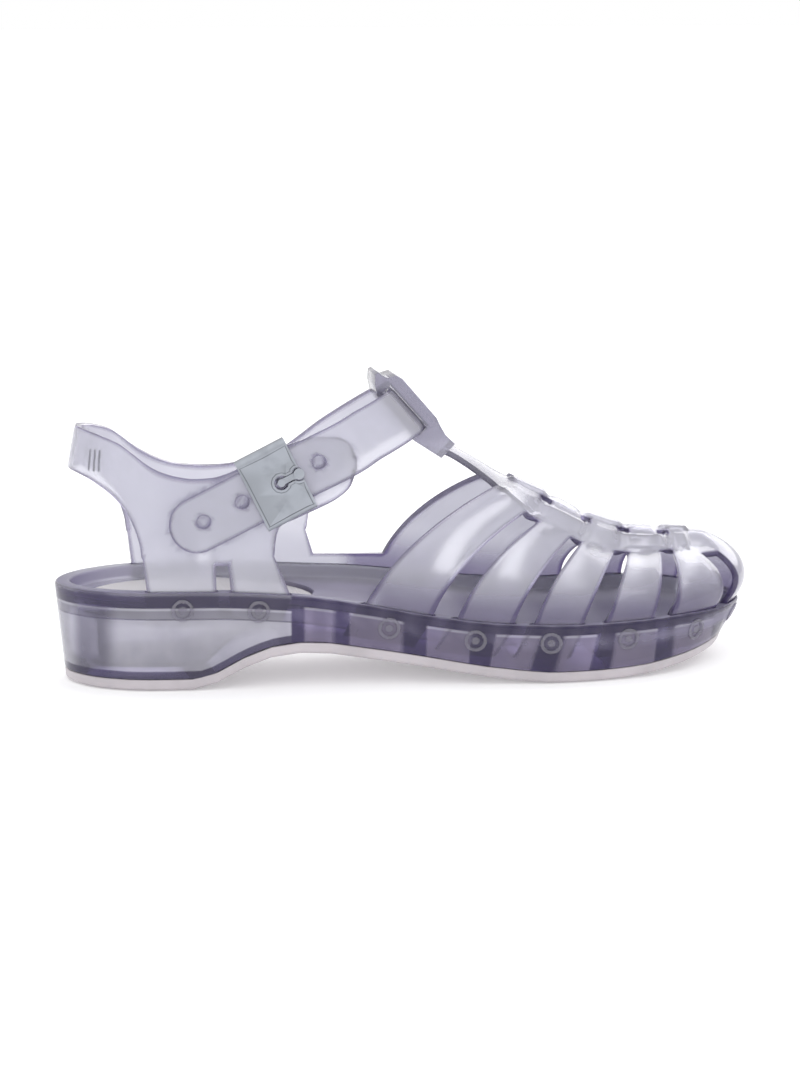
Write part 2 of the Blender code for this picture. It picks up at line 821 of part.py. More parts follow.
def quarter_point(side, along, height):
    """The quarter's outer face, leaning in as it rises, more at the back of the heel."""
    turn = turn_of(along, side)
    rim = rim_height(turn)
    climb = clamp((height - rim) / (HEEL_STRAP_TOP - rim))
    lean = mix(SIDE_LEAN, BACK_LEAN, math.cos(turn) ** 2) * climb**1.7
    plan = outline(turn) + inward(turn) * (RIM_EDGE + lean)
    return Vector((plan.x, plan.y, height))


def quarter_column(side, column):
    points = []
    for j in range(QUARTER_ROWS + 1):
        share = j / QUARTER_ROWS
        along = mix(column.low_along, column.top_along, share)
        height = mix(column.low_height, column.top_height, share) * HEEL_STRAP_TOP
        points.append(quarter_point(side, along, height))
    return points


def foot_lines(side, foot):
    """The lines of a quarter's foot, each with its turn at the rim and at the tab's foot."""
    count = foot.last - foot.first
    lines = []
    for i in range(count + 1):
        rim = turn_of(mix(foot.rim_rear, foot.rim_front, i / count), side)
        lines.append((rim, turn_of(mix(foot.tab_rear, foot.tab_front, i / count), side)))
    return lines


def foot_columns(side, foot, yoke):
    """A foot of the quarter: from the sole up to the rim, the web's height and the yoke's lower edge."""
    columns = []
    for line, row in zip(foot_lines(side, foot), yoke[foot.first :]):
        rim = rim_height(line[0])
        yoke_height = row.low_height * HEEL_STRAP_TOP
        share = clamp((yoke_height - WEB_HEIGHT) / (yoke_height - rim), 0.3, 0.8)
        columns.append(
            [
                *tab_points(line),
                foot_point(line, 0.0),
                quarter_point(side, mix(row.low_along, along_of(line[0]), share), mix(yoke_height, rim, share)),
                quarter_point(side, row.low_along, yoke_height),
            ]
        )
    return columns


def add_quarter(sheet):
    outer = [quarter_column(-1, column) for column in SLING + OUTER_YOKE]
    inner = [quarter_column(1, column) for column in SLING + INNER_YOKE]
    start = ankle_column(0.0)
    middle = [point.lerp(ahead, 0.5) for point, ahead in zip(inner[-1], start)]
    sheet.patch([*reversed(outer), *inner[1:], middle, start])
    for side, feet, yoke in ((-1, OUTER_FEET, OUTER_YOKE), (1, INNER_FEET, INNER_YOKE)):
        for foot in feet:
            sheet.patch(foot_columns(side, foot, yoke))


def web_lines():
    """The web's lines under the rim, from the quarter's front foot to the first strap."""
    rear = foot_lines(1, INNER_FEET[-1])[-1]
    front = strap_lines(STRAPS[0], 1)[0]
    shares = [i / WEB_CELLS for i in range(WEB_CELLS + 1)]
    return [(mix(rear[0], front[0], share), mix(rear[1], front[1], share)) for share in shares]


def add_web(sheet):
    """The low web on the inner side, from the quarter's front foot to the first strap."""
    web_points = 4
    rear = foot_columns(1, INNER_FEET[-1], INNER_YOKE)[-1][:web_points]
    front = strap_columns(STRAPS[0], 1)[0][:web_points]
    columns = [rear]
    for i, line in enumerate(web_lines()[1:-1]):
        rim = foot_point(line, 0.0)
        top = rim.copy()
        top.z = mix(rear[-1].z, front[-1].z, (i + 1) / WEB_CELLS)
        columns.append([*tab_points(line), rim, top])
    sheet.patch([*columns, front])


def ankle_station(share):
    """The ankle strap's middle, width direction and seat at a share of its way."""
    spot = clamp(share) * (len(ANKLE_STATIONS) - 1)
    rows = [
        namedtuple("Numbered", ("step", *Station._fields))(i, *row) for i, row in enumerate(ANKLE_STATIONS)
    ]
    along, height, across, tilt, seat = (read(rows, column, spot, "step") for column in Station._fields)
    middle = Vector((length_at(along), across * ANKLE_WIDTH, height * ANKLE_HEIGHT))
    lean = math.radians(tilt)
    return middle, Vector((-math.sin(lean), 0.0, math.cos(lean))), seat


def ankle_point(share, across, lift=0.0):
    """A point of the ankle strap's outer face, across from -1 at its lower edge to 1 at its upper edge."""
    middle, up, seat = ankle_station(share)
    point = middle + up * across * ANKLE_STRAP_WIDTH / 2
    side = 1 if seat > 0 else -1
    if seat:
        on_quarter = quarter_point(side, point.x / SOLE_LENGTH + 0.5, point.z).y
        on_quarter -= 0.0 if seat > 0 else WALL + STRAP_SEAT
        point.y = mix(point.y, on_quarter, abs(seat))
    return point + Vector((0.0, -lift, 0.0))


def ankle_column(share, narrow=1.0):
    count = QUARTER_ROWS
    return [ankle_point(share, narrow * (2 * j / count - 1)) for j in range(count + 1)]


def run_point(distance, offset):
    """The strap's outer face on its straight run, forward from its last station and across it."""
    last = ANKLE_STATIONS[-1]
    lean = math.radians(last.tilt)
    x = length_at(last.along) + distance * math.cos(lean) - offset * math.sin(lean)
    z = last.height * ANKLE_HEIGHT + distance * math.sin(lean) + offset * math.cos(lean)
    y = quarter_point(-1, x / SOLE_LENGTH + 0.5, z).y - WALL - STRAP_SEAT
    return Vector((x, y, z))


def add_ankle_strap(sheet):
    columns = [ankle_column(i / ANKLE_CELLS) for i in range(ANKLE_CELLS + 1)]
    radius = ANKLE_STRAP_WIDTH / 2
    blunt = 0.92
    for i in range(1, LOOSE_END_CELLS + 1):
        angle = math.pi / 2 * i / LOOSE_END_CELLS * blunt
        across = [radius * math.cos(angle) * (2 * j / QUARTER_ROWS - 1) for j in range(QUARTER_ROWS + 1)]
        columns.append([run_point(-radius * math.sin(angle), offset) for offset in across])
    sheet.patch(columns)


def loop_axes(share):
    """The middle of the ankle strap's thickness, the direction across its width and the one away from the foot."""
    middle, up, _ = ankle_station(share)
    out = Vector((up.z, 0.0, -up.x))
    return middle - out * WALL / 2, up, out


def make_loop(cutters):
    """The block at the end of the T bar with its tunnel for the ankle strap."""
    last = len(ANKLE_STATIONS) - 1
    middle, up, out = loop_axes(LOOP_STATION / last)
    outer, inner = LOOP_MIDDLE - LOOP_WIDTH / 2, LOOP_MIDDLE + LOOP_WIDTH / 2
    shrink = 1 - LOOP_ROUND / LOOP_DEPTH / 2
    sections = []
    for y, size in ((outer, shrink), (outer + LOOP_ROUND, 1.0), (inner - LOOP_ROUND, 1.0), (inner, shrink)):
        section = []
        for corner in LOOP_OUTLINE:
            point = middle - up * corner.down * ANKLE_STRAP_WIDTH * size + out * corner.out * LOOP_DEPTH * size
            section.append(Vector((point.x, y, point.z)))
        sections.append(section)
    loop = hide_helper(section_solid("join_loop", sections, cutters))

    half_width, half_depth = ANKLE_STRAP_WIDTH / 2 + LOOP_PLAY / 2, WALL / 2 + LOOP_PLAY
    sections = []
    for i in range(LOOP_SECTIONS + 1):
        middle, up, out = loop_axes((LOOP_STATION + LOOP_REACH * (2 * i / LOOP_SECTIONS - 1)) / last)
        corners = ((-1, -1), (1, -1), (1, 1), (-1, 1))
        sections.append([middle + up * across * half_width + out * away * half_depth for across, away in corners])
    tunnel = hide_helper(section_solid("cut_tunnel", sections, cutters))
    add_boolean(loop, tunnel, "DIFFERENCE")
    return loop


def bore(name, middle, radius, outward, inwards, cutters):
    """A round bar across the shoe at a point, with its reach to the outer and to the inner side."""
    sections = []
    for y in (middle.y - outward, middle.y + inwards):
        turns = [2 * math.pi * i / HOLE_SIDES for i in range(HOLE_SIDES)]
        sections.append(
            [Vector((middle.x + radius * math.cos(turn), y, middle.z + radius * math.sin(turn))) for turn in turns]
        )
    return section_solid(name, sections, cutters)


def strap_holes(cutters):
    made = []
    for k in range(HOLES):
        middle = run_point(EYE_PLACE + (k - BUCKLE_HOLE) * HOLE_SPACING, 0.0)
        made.append(hide_helper(bore(f"cut_hole_{k + 1}", middle, HOLE_RADIUS, WALL, WALL + STRAP_SEAT / 2, cutters)))
    return made


def make_upper(collection, cutters):
    sheet = Sheet()
    add_straps(sheet)
    add_weave(sheet)
    add_toe_cap(sheet)
    add_t_bar(sheet)
    add_quarter(sheet)
    add_web(sheet)
    add_ankle_strap(sheet)
    upper = sheet.finish("upper", collection)
    shell = upper.modifiers.new("Wall", "SOLIDIFY")
    shell.thickness = WALL
    shell.offset = -1.0
    add_boolean(upper, make_loop(cutters), "UNION")
    for hole in strap_holes(cutters):
        add_boolean(upper, hole, "DIFFERENCE")
    return upper


# Buckle: the folded plate over the strap, and the prong through its eye and the strap's hole


def plate_point(place, across, sink):
    """The plate's outer face, over the ankle strap's straight run."""
    point = run_point(place, across * PLATE_WIDTH / 2)
    point.y -= GAP + PLATE_THICKNESS + PLATE_BOW * (1 - across * across)
    point.y += sink * PLATE_LIP
    return point


def box_along_run(name, first, last, half_width, outward, inwards, collection):
    """A bar along the strap's run, with its reach to the outer and to the inner side of the strap's outer face."""
    sections = []
    for place in (first, last):
        section = []
        for across, reach in ((-1, -outward), (1, -outward), (1, inwards), (-1, inwards)):
            point = run_point(place, across * half_width)
            point.y += reach
            section.append(point)
        sections.append(section)
    return section_solid(name, sections, collection)


def make_buckle(collection, cutters):
    bm = bmesh.new()
    rows = []
    for i in range(PLATE_CELLS + 1):
        place = PLATE_PLACE + PLATE_LENGTH * (i / PLATE_CELLS - 0.5)
        rows.append([bm.verts.new(plate_point(place, fold.across, fold.sink)) for fold in PLATE_FOLDS])
    for row, following in zip(rows, rows[1:]):
        for j in range(len(row) - 1):
            bm.faces.new((row[j], following[j], following[j + 1], row[j + 1]))
    bm.normal_update()
    if sum(face.normal.y for face in bm.faces) > 0:
        bmesh.ops.reverse_faces(bm, faces=bm.faces)
    mesh = bpy.data.meshes.new("buckle")
    bm.to_mesh(mesh)
    bm.free()
    plate = bpy.data.objects.new("buckle", mesh)
    collection.objects.link(plate)
    wall = plate.modifiers.new("Wall", "SOLIDIFY")
    wall.thickness = PLATE_THICKNESS
    wall.offset = -1.0
    reach = 3 * PLATE_THICKNESS
    eye = bore("cut_plate_eye", run_point(EYE_PLACE, 0.0), PLATE_EYE_RADIUS, reach, 0.0, cutters)
    knob_at = run_point(EYE_PLACE + PRONG_REACH, 0.0)
    notch = bore("cut_plate_notch", knob_at, PLATE_EYE_RADIUS, reach, 0.0, cutters)
    slot_end = PLATE_PLACE + PLATE_LENGTH
    slot = box_along_run("cut_plate_slot", EYE_PLACE, slot_end, PLATE_SLOT_WIDTH / 2, reach, 0.0, cutters)
    for cutter in (eye, notch, slot):
        add_boolean(plate, hide_helper(cutter), "DIFFERENCE")
    return plate


def make_prong(collection, cutters):
    middle = run_point(EYE_PLACE, 0.0)
    over = GAP + PRONG_THICKNESS
    prong = bore("prong", middle, PRONG_RADIUS, over + RIM_ROUND / 2, WALL, collection)
    half_width = PLATE_SLOT_WIDTH / 2 - GAP
    last = EYE_PLACE + PRONG_REACH
    bar = box_along_run("join_prong_bar", EYE_PLACE, last, half_width, over, -GAP, cutters)
    knob_at = run_point(last, 0.0)
    knob = bore("join_prong_knob", knob_at, PRONG_RADIUS * 1.4, over + RIM_ROUND / 2, -GAP, cutters)
    for piece in (bar, knob):
        add_boolean(prong, hide_helper(piece), "UNION")
    return prong


# Sockets in the sole for the feet of the straps


def widened(turns):
    """The same turns with both ends moved out by the socket's clearance."""
    ahead = math.copysign(1, turns[-1] - turns[0])

    def step(turn):
        nudge = 0.001
        pace = (outline(turn + nudge) - outline(turn - nudge)).length / (2 * nudge)
        return ahead * 2 * SOCKET_CLEARANCE / pace

    return [turns[0] - step(turns[0]), *turns[1:-1], turns[-1] + step(turns[-1])]


def socket(name, lines, cutters):
    """A slot a little larger than the tab that hangs from these lines."""
    grow = SOCKET_CLEARANCE
    above = Vector((0.0, 0.0, FOOTBED_DROP))
    sections = []
    for line in zip(widened([line[0] for line in lines]), widened([line[1] for line in lines])):
        slope = read(RIMS, "taper", along_of(line[0]))
        outer, inner = RIM_EDGE - grow, RIM_EDGE + WALL * math.hypot(1.0, slope) + grow
        low = [foot_point(line, 1.0, inset, grow) for inset in (outer, inner)]
        rim_inner, rim_outer = (foot_point(line, 0.0, inset) for inset in (inner, outer))
        sections.append([*low, rim_inner, rim_inner + above, rim_outer + above, rim_outer])
    return hide_helper(section_solid(name, sections, cutters))


def strap_lines(strap, side):
    rear, front = (strap.outer_rear, strap.outer_front) if side < 0 else (strap.inner_rear, strap.inner_front)
    turns = [turn_of(mix(rear, front, i / strap.cells), side) for i in range(strap.cells + 1)]
    return [(turn, tab_turn(turn, strap.lean)) for turn in turns]


def sockets(cutters):
    made = []
    for side, label, feet in ((-1, "outer", OUTER_FEET), (1, "inner", INNER_FEET)):
        for strap in STRAPS:
            made.append(socket(f"cut_{strap.name}_{label}", strap_lines(strap, side), cutters))
        for number, foot in enumerate(feet):
            made.append(socket(f"cut_quarter_{label}_{number + 1}", foot_lines(side, foot), cutters))
    made.append(socket("cut_toe_cap", [(turn, turn) for turn in cap_turns()], cutters))
    made.append(socket("cut_web", web_lines(), cutters))
    return made


# The scene


def paint(obj, colour, roughness, metallic):
    material = bpy.data.materials.new(obj.name)
    material.use_nodes = True
    shader = material.node_tree.nodes["Principled BSDF"]
    shader.inputs["Base Color"].default_value = (*colour, 1.0)
    shader.inputs["Roughness"].default_value = roughness
    shader.inputs["Metallic"].default_value = metallic
    obj.data.materials.append(material)
    for face in obj.data.polygons:
        face.use_smooth = True
    obj.data.set_sharp_from_angle(angle=math.radians(35))


def clear_scene():
    for obj in list(bpy.data.objects):
        bpy.data.objects.remove(obj, do_unlink=True)


def main():
    clear_scene()
    sandal = bpy.data.collections.new("Jelly sandal")
    cutters = bpy.data.collections.new("Cutters")
    for collection in (sandal, cutters):
        bpy.context.scene.collection.children.link(collection)
    cutters.hide_render = True
    parts = [
        make_outsole(sandal),
        make_sole(sandal, cutters),
        make_heel_pad(sandal),
        make_upper(sandal, cutters),
        make_buckle(sandal, cutters),
        make_prong(sandal, cutters),
    ]
    for obj in parts:
        metal = obj.name in METALS
        paint(obj, COLOURS[obj.name], METAL_ROUGHNESS if metal else PLASTIC_ROUGHNESS, 1.0 if metal else 0.0)


main()
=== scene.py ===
"""Jelly sandal, right shoe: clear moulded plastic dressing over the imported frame."""

import math
from collections import namedtuple

import bmesh
import bpy
from mathutils import Matrix, Vector, kdtree


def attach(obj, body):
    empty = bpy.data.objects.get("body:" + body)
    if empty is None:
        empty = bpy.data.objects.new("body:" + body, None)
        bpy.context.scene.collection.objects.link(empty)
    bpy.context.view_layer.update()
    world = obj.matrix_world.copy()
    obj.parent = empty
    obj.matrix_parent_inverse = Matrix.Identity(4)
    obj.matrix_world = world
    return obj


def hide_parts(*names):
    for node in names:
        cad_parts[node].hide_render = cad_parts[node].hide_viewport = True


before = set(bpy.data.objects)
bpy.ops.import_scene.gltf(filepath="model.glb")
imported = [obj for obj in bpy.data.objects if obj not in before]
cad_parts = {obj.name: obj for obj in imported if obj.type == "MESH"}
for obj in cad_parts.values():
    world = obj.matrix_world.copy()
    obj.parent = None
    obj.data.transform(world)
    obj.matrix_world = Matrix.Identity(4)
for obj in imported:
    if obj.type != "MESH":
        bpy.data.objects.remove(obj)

bl_info = {
    "name": "Jelly sandal",
    "version": (1, 0, 0),
    "blender": (4, 5, 0),
    "location": "View3D > Sidebar > Sandal",
    "description": "Dresses the sandal's frame: clear straps, sole, studs, buckle and the studio",
    "category": "Object",
}


# Driving dimensions of the last and the sole
SOLE_LENGTH = 0.2535
BALL_WIDTH = 0.087
HEEL_WIDTH = 0.0585
HEEL_RIM_HEIGHT = 0.0355
BALL_RIM_HEIGHT = 0.0215
ARCH_RISE = 0.0118
TOE_SPRING = 0.006
INSTEP_HEIGHT = 0.0695

# Sole and outsole
OUTSOLE_THICKNESS = 0.0038
RIM_LIP_WIDTH = 0.0056
FOOTBED_DROP = 0.0045
FOOTBED_SLAB = 0.0048
RIM_ROUND = 0.0009
CAVITY_WALL = 0.0064
CAVITY_FLOOR = 0.0030

# Heel pad
PAD_LENGTH = 0.080
PAD_WIDTH = 0.041
PAD_THICKNESS = 0.0022
PAD_BACK_MARGIN = 0.0125

# Upper
WALL = 0.0022
RIM_EDGE = 0.0016
TAB_DEPTH = 0.0122
TAB_FLOOR = 0.0022
TOE_BULGE = 0.0055
HEEL_STRAP_TOP = 0.0910
BACK_LEAN = 0.0070
SIDE_LEAN = 0.0020
WEB_HEIGHT = 0.0370

# Ankle strap, its holes and its loop
ANKLE_STRAP_WIDTH = 0.0195
ANKLE_RISE = 0.0251
ANKLE_HEIGHT = INSTEP_HEIGHT + ANKLE_RISE
ANKLE_WIDTH = 0.058
STRAP_SEAT = 0.0007
HOLE_RADIUS = 0.0023
HOLE_SPACING = 0.0150
LOOP_DEPTH = 0.0059
LOOP_WIDTH = 0.0160
LOOP_MIDDLE = 0.0010
LOOP_PLAY = 0.0011
EYE_PLACE = 0.0325

# Clearance between pieces that touch
GAP = 0.0003
SOCKET_CLEARANCE = 0.00035

# How finely the pad follows its oval
PAD_SIDES = 40

# Half widths of the sole's rim as shares of the width that rules there
Width = namedtuple("Width", "along outer inner")
WIDTHS = (
    Width(0.000, 0.000, 0.000),
    Width(0.020, 0.232, 0.232),
    Width(0.050, 0.355, 0.355),
    Width(0.120, 0.474, 0.474),
    Width(0.200, 0.504, 0.496),
    Width(0.300, 0.513, 0.470),
    Width(0.400, 0.478, 0.390),
    Width(0.500, 0.446, 0.350),
    Width(0.600, 0.466, 0.391),
    Width(0.700, 0.506, 0.468),
    Width(0.800, 0.477, 0.500),
    Width(0.880, 0.391, 0.477),
    Width(0.940, 0.264, 0.400),
    Width(0.980, 0.110, 0.268),
    Width(1.000, -0.092, 0.092),
)

# Rim height, as the share of the way from the ball's rim up to the heel's, and the wall's taper
Rim = namedtuple("Rim", "along outer inner taper")
RIMS = (
    Rim(0.00, 1.00, 1.00, 0.10),
    Rim(0.05, 1.00, 1.00, 0.07),
    Rim(0.10, 1.00, 1.00, 0.05),
    Rim(0.20, 0.98, 0.99, 0.04),
    Rim(0.31, 0.84, 0.92, 0.05),
    Rim(0.42, 0.54, 0.80, 0.06),
    Rim(0.51, 0.24, 0.58, 0.07),
    Rim(0.62, 0.02, 0.24, 0.08),
    Rim(0.72, -0.02, 0.03, 0.09),
    Rim(0.86, 0.00, 0.00, 0.14),
    Rim(0.95, -0.06, -0.06, 0.34),
    Rim(1.00, -0.12, -0.12, 0.60),
)

# Underside of the outsole, as shares of the arch rise and of the toe spring
Base = namedtuple("Base", "along arch spring")
BASES = (
    Base(0.000, 0.00, 0.00),
    Base(0.190, 0.00, 0.00),
    Base(0.207, 0.12, 0.00),
    Base(0.238, 0.47, 0.00),
    Base(0.270, 0.77, 0.00),
    Base(0.300, 0.94, 0.00),
    Base(0.340, 1.00, 0.00),
    Base(0.415, 0.80, 0.00),
    Base(0.515, 0.45, 0.00),
    Base(0.585, 0.20, 0.00),
    Base(0.645, 0.04, 0.00),
    Base(0.670, 0.00, 0.00),
    Base(0.750, 0.00, 0.00),
    Base(0.800, 0.00, 0.07),
    Base(0.870, 0.00, 0.34),
    Base(0.940, 0.00, 0.68),
    Base(1.000, 0.00, 1.00),
)

# Top line of the foot: height over the instep, place and half width of the crown, drop at its edge, and how
# far its rows bow back from the middle to the edge, as a share of the sole's length
Crown = namedtuple("Crown", "along height centre half drop bow")
CROWNS = (
    Crown(0.540, 1.180, 0.010, 0.084, 0.022, 0.000),
    Crown(0.560, 1.155, 0.010, 0.086, 0.030, 0.000),
    Crown(0.585, 1.105, 0.010, 0.092, 0.038, 0.000),
    Crown(0.610, 1.050, 0.011, 0.120, 0.052, 0.004),
    Crown(0.630, 1.004, 0.012, 0.166, 0.070, 0.016),
    Crown(0.650, 0.966, 0.014, 0.188, 0.105, 0.028),
    Crown(0.672, 0.928, 0.017, 0.196, 0.140, 0.034),
    Crown(0.697, 0.886, 0.023, 0.198, 0.156, 0.035),
    Crown(0.727, 0.828, 0.029, 0.194, 0.152, 0.034),
    Crown(0.752, 0.776, 0.035, 0.188, 0.142, 0.031),
    Crown(0.783, 0.728, 0.043, 0.182, 0.128, 0.025),
    Crown(0.815, 0.690, 0.052, 0.172, 0.116, 0.016),
    Crown(0.843, 0.670, 0.060, 0.162, 0.104, 0.010),
    Crown(0.870, 0.659, 0.066, 0.152, 0.092, 0.005),
    Crown(0.905, 0.648, 0.073, 0.132, 0.076, 0.002),
    Crown(0.948, 0.628, 0.080, 0.100, 0.058, 0.000),
)

# The cross straps: where each edge leaves the rim and where it meets the weave, as shares of length, and how
# far the strap's tab slants back under the rim, as a share of its depth
Strap = namedtuple("Strap", "name outer_rear outer_front top_rear top_front inner_rear inner_front lean")
STRAPS = (
    Strap("first", 0.4195, 0.5105, 0.6500, 0.6965, 0.4740, 0.5560, 0.60),
    Strap("second", 0.5430, 0.6215, 0.7135, 0.7570, 0.5950, 0.6620, 0.60),
    Strap("third", 0.6490, 0.7190, 0.7710, 0.8115, 0.7020, 0.7640, 0.50),
    Strap("fourth", 0.7530, 0.8260, 0.8295, 0.8715, 0.8000, 0.8600, 0.20),
    Strap("toe", 0.8555, 0.9380, 0.8885, 0.9180, 0.8900, 0.9440, 0.00),
)
TOE_CAP = Strap("toe_cap", 0.9620, 1.0, 0.9450, 0.9450, 0.9620, 1.0, 0.0)

# Rear quarter: lower and upper ends of each column of faces, as shares of sole length and of its top height
Column = namedtuple("Column", "low_along low_height top_along top_height")
SLING = (
    Column(0.0000, 0.835, 0.0000, 1.000),
    Column(0.0080, 0.832, 0.0080, 0.998),
    Column(0.0300, 0.815, 0.0290, 0.988),
    Column(0.0560, 0.780, 0.0530, 0.974),
    Column(0.0800, 0.724, 0.0750, 0.953),
    Column(0.0970, 0.654, 0.0970, 0.917),
    Column(0.1075, 0.572, 0.1180, 0.878),
)
OUTER_YOKE = (
    Column(0.1115, 0.517, 0.1370, 0.850),
    Column(0.1450, 0.517, 0.1610, 0.830),
    Column(0.1790, 0.517, 0.1850, 0.821),
    Column(0.2120, 0.486, 0.2090, 0.824),
    Column(0.2300, 0.486, 0.2290, 0.838),
    Column(0.2620, 0.517, 0.2530, 0.866),
    Column(0.2930, 0.517, 0.2770, 0.896),
    Column(0.2955, 0.570, 0.2960, 0.921),
    Column(0.3010, 0.626, 0.3180, 0.946),
    Column(0.3270, 0.662, 0.3400, 0.964),
    Column(0.3540, 0.694, 0.3610, 0.971),
    Column(0.3810, 0.733, 0.3820, 0.966),
    Column(0.3985, 0.780, 0.3980, 0.940),
    Column(0.4060, 0.838, 0.4055, 0.895),
)
INNER_YOKE = (
    Column(0.1115, 0.517, 0.1370, 0.845),
    Column(0.1450, 0.517, 0.1610, 0.812),
    Column(0.1790, 0.517, 0.1850, 0.792),
    Column(0.2120, 0.486, 0.2090, 0.784),
    Column(0.2300, 0.486, 0.2290, 0.781),
    Column(0.2650, 0.517, 0.2530, 0.782),
    Column(0.3030, 0.514, 0.2770, 0.792),
    Column(0.3430, 0.512, 0.3010, 0.812),
    Column(0.3700, 0.508, 0.3200, 0.832),
    Column(0.3760, 0.585, 0.3330, 0.846),
)
# The feet of the quarter, by the columns they hang from, with their ends at the rim and at the tab's foot
Foot = namedtuple("Foot", "first last rim_rear rim_front tab_rear tab_front")
OUTER_FEET = (
    Foot(0, 3, 0.1170, 0.2130, 0.1190, 0.2130),
    Foot(4, 6, 0.2330, 0.3150, 0.2380, 0.2960),
)
INNER_FEET = (
    Foot(0, 3, 0.1170, 0.2130, 0.1190, 0.2130),
    Foot(4, 8, 0.2330, 0.3850, 0.2380, 0.3850),
)

# The ankle strap's middle, from the inner side over the instep to its loose end on the outer side. along and
# height are shares of the sole's length and of the strap's highest point, across is one of the ankle's width,
# tilt is in degrees, and seat says how far the strap lies on the quarter: inner side +1, outer side -1
Station = namedtuple("Station", "along height across tilt seat")
ANKLE_STATIONS = (
    Station(0.3640, 0.7365, 0.430, 34.0, 1.0),
    Station(0.3930, 0.7921, 0.425, 35.0, 0.6),
    Station(0.4250, 0.8546, 0.380, 37.0, 0.0),
    Station(0.4570, 0.9180, 0.305, 39.5, 0.0),
    Station(0.4845, 0.9718, 0.215, 41.5, 0.0),
    Station(0.4982, 0.9975, 0.110, 41.7, 0.0),
    Station(0.4992, 1.0000, -0.030, 41.7, 0.0),
    Station(0.4932, 0.9960, -0.155, 41.0, 0.0),
    Station(0.4670, 0.9700, -0.300, 37.0, 0.0),
    Station(0.4300, 0.9311, -0.405, 31.0, 0.0),
    Station(0.3900, 0.8854, -0.478, 27.5, -0.6),
    Station(0.3550, 0.8427, -0.500, 26.0, -1.0),
    Station(0.3130, 0.7891, -0.500, 26.0, -1.0),
    Station(0.2710, 0.7345, -0.500, 26.0, -1.0),
    Station(0.2290, 0.6799, -0.500, 26.0, -1.0),
    Station(0.1870, 0.6253, -0.500, 26.0, -1.0),
)
LOOP_STATION = 6
LOOP_REACH = 1.7
LOOP_SECTIONS = 8

# The loop's side outline from the middle of the strap: down and out, as shares of the strap's width and of
# the loop's depth
LoopCorner = namedtuple("LoopCorner", "down out")
LOOP_OUTLINE = (
    LoopCorner(1.090, 0.77),
    LoopCorner(0.843, 0.70),
    LoopCorner(0.640, 0.84),
    LoopCorner(0.496, 0.99),
    LoopCorner(-0.478, 1.04),
    LoopCorner(-0.606, 0.90),
    LoopCorner(-0.670, 0.46),
    LoopCorner(-0.760, 0.30),
    LoopCorner(-0.870, 0.24),
    LoopCorner(-0.885, 0.02),
    LoopCorner(-0.760, -0.40),
    LoopCorner(-0.562, -0.77),
    LoopCorner(-0.384, -0.84),
    LoopCorner(0.516, -0.95),
    LoopCorner(1.110, -0.43),
)


def mix(a, b, share):
    return a + (b - a) * share


def clamp(value, low=0.0, high=1.0):
    return max(low, min(high, value))


def ease(value):
    value = clamp(value)
    return value * value * (3 - 2 * value)


def read(table, column, at, axis="along"):
    """The column's value at a share of the length, along a curve that never overshoots its rows."""
    places = [getattr(row, axis) for row in table]
    values = [getattr(row, column) for row in table]
    at = clamp(at, places[0], places[-1])
    index = max(i for i in range(len(places) - 1) if places[i] <= at + 1e-12)
    steps = [places[i + 1] - places[i] for i in range(len(places) - 1)]
    slopes = [(values[i + 1] - values[i]) / steps[i] for i in range(len(steps))]

    def tangent(i):
        if i == 0:
            return slopes[0]
        if i == len(slopes):
            return slopes[-1]
        before, after = slopes[i - 1], slopes[i]
        if before * after <= 0:
            return 0.0
        return 2 * before * after / (before + after)

    step = steps[index]
    t = (at - places[index]) / step
    start, end = values[index], values[index + 1]
    bend_in, bend_out = tangent(index) * step, tangent(index + 1) * step
    return (
        start * (2 * t**3 - 3 * t**2 + 1)
        + bend_in * (t**3 - 2 * t**2 + t)
        + end * (3 * t**2 - 2 * t**3)
        + bend_out * (t**3 - t**2)
    )


def numbered(table):
    """The table's rows with their numbers as a first column."""
    row = namedtuple("Numbered", ("step", *table[0]._fields))
    return [row(i, *values) for i, values in enumerate(table)]


ANKLE_ROWS = numbered(ANKLE_STATIONS)

# The last: a turn runs round the rim, 0 at the back of the heel, -pi and pi at the tip of the toe,
# negative on the outer side and positive on the inner side


def turn_of(along, side):
    return side * math.acos(1 - 2 * clamp(along))


def along_of(turn):
    return (1 - math.cos(turn)) / 2


def length_at(along):
    return (along - 0.5) * SOLE_LENGTH


def share_at(x):
    """How far along the sole a place lies."""
    return x / SOLE_LENGTH + 0.5


def ruling_width(along):
    return mix(HEEL_WIDTH, BALL_WIDTH, ease((along - 0.3) / 0.3))


TURN_WIDTHS = tuple(
    namedtuple("TurnWidth", "turn outer inner")(turn_of(row.along, 1), row.outer, row.inner) for row in WIDTHS
)


def outline(turn):
    """The rim's outer edge in plan."""
    turn = math.remainder(turn, 2 * math.pi)
    side = "outer" if turn < 0 else "inner"
    along = along_of(turn)
    half = read(TURN_WIDTHS, side, abs(turn), "turn") * ruling_width(along)
    return Vector((length_at(along), -half if turn < 0 else half))


def heading(turn):
    """The rim's direction in plan, towards larger turns."""
    step = 0.02
    return (outline(turn + step) - outline(turn - step)).normalized()


def inward(turn):
    ahead = heading(turn)
    return Vector((ahead.y, -ahead.x))


def rim_height(turn):
    turn = math.remainder(turn, 2 * math.pi)
    share = read(RIMS, "outer" if turn < 0 else "inner", along_of(turn))
    return mix(BALL_RIM_HEIGHT, HEEL_RIM_HEIGHT, share)


def base_height(along):
    return read(BASES, "arch", along) * ARCH_RISE + read(BASES, "spring", along) * TOE_SPRING


def wall_point(turn, height, inset):
    """A point inside the sole's tapering outer wall, by the inset at the rim's height."""
    drop = max(0.0, rim_height(turn) - height)
    plan = outline(turn) + inward(turn) * (inset + read(RIMS, "taper", along_of(turn)) * drop)
    return Vector((plan.x, plan.y, height))


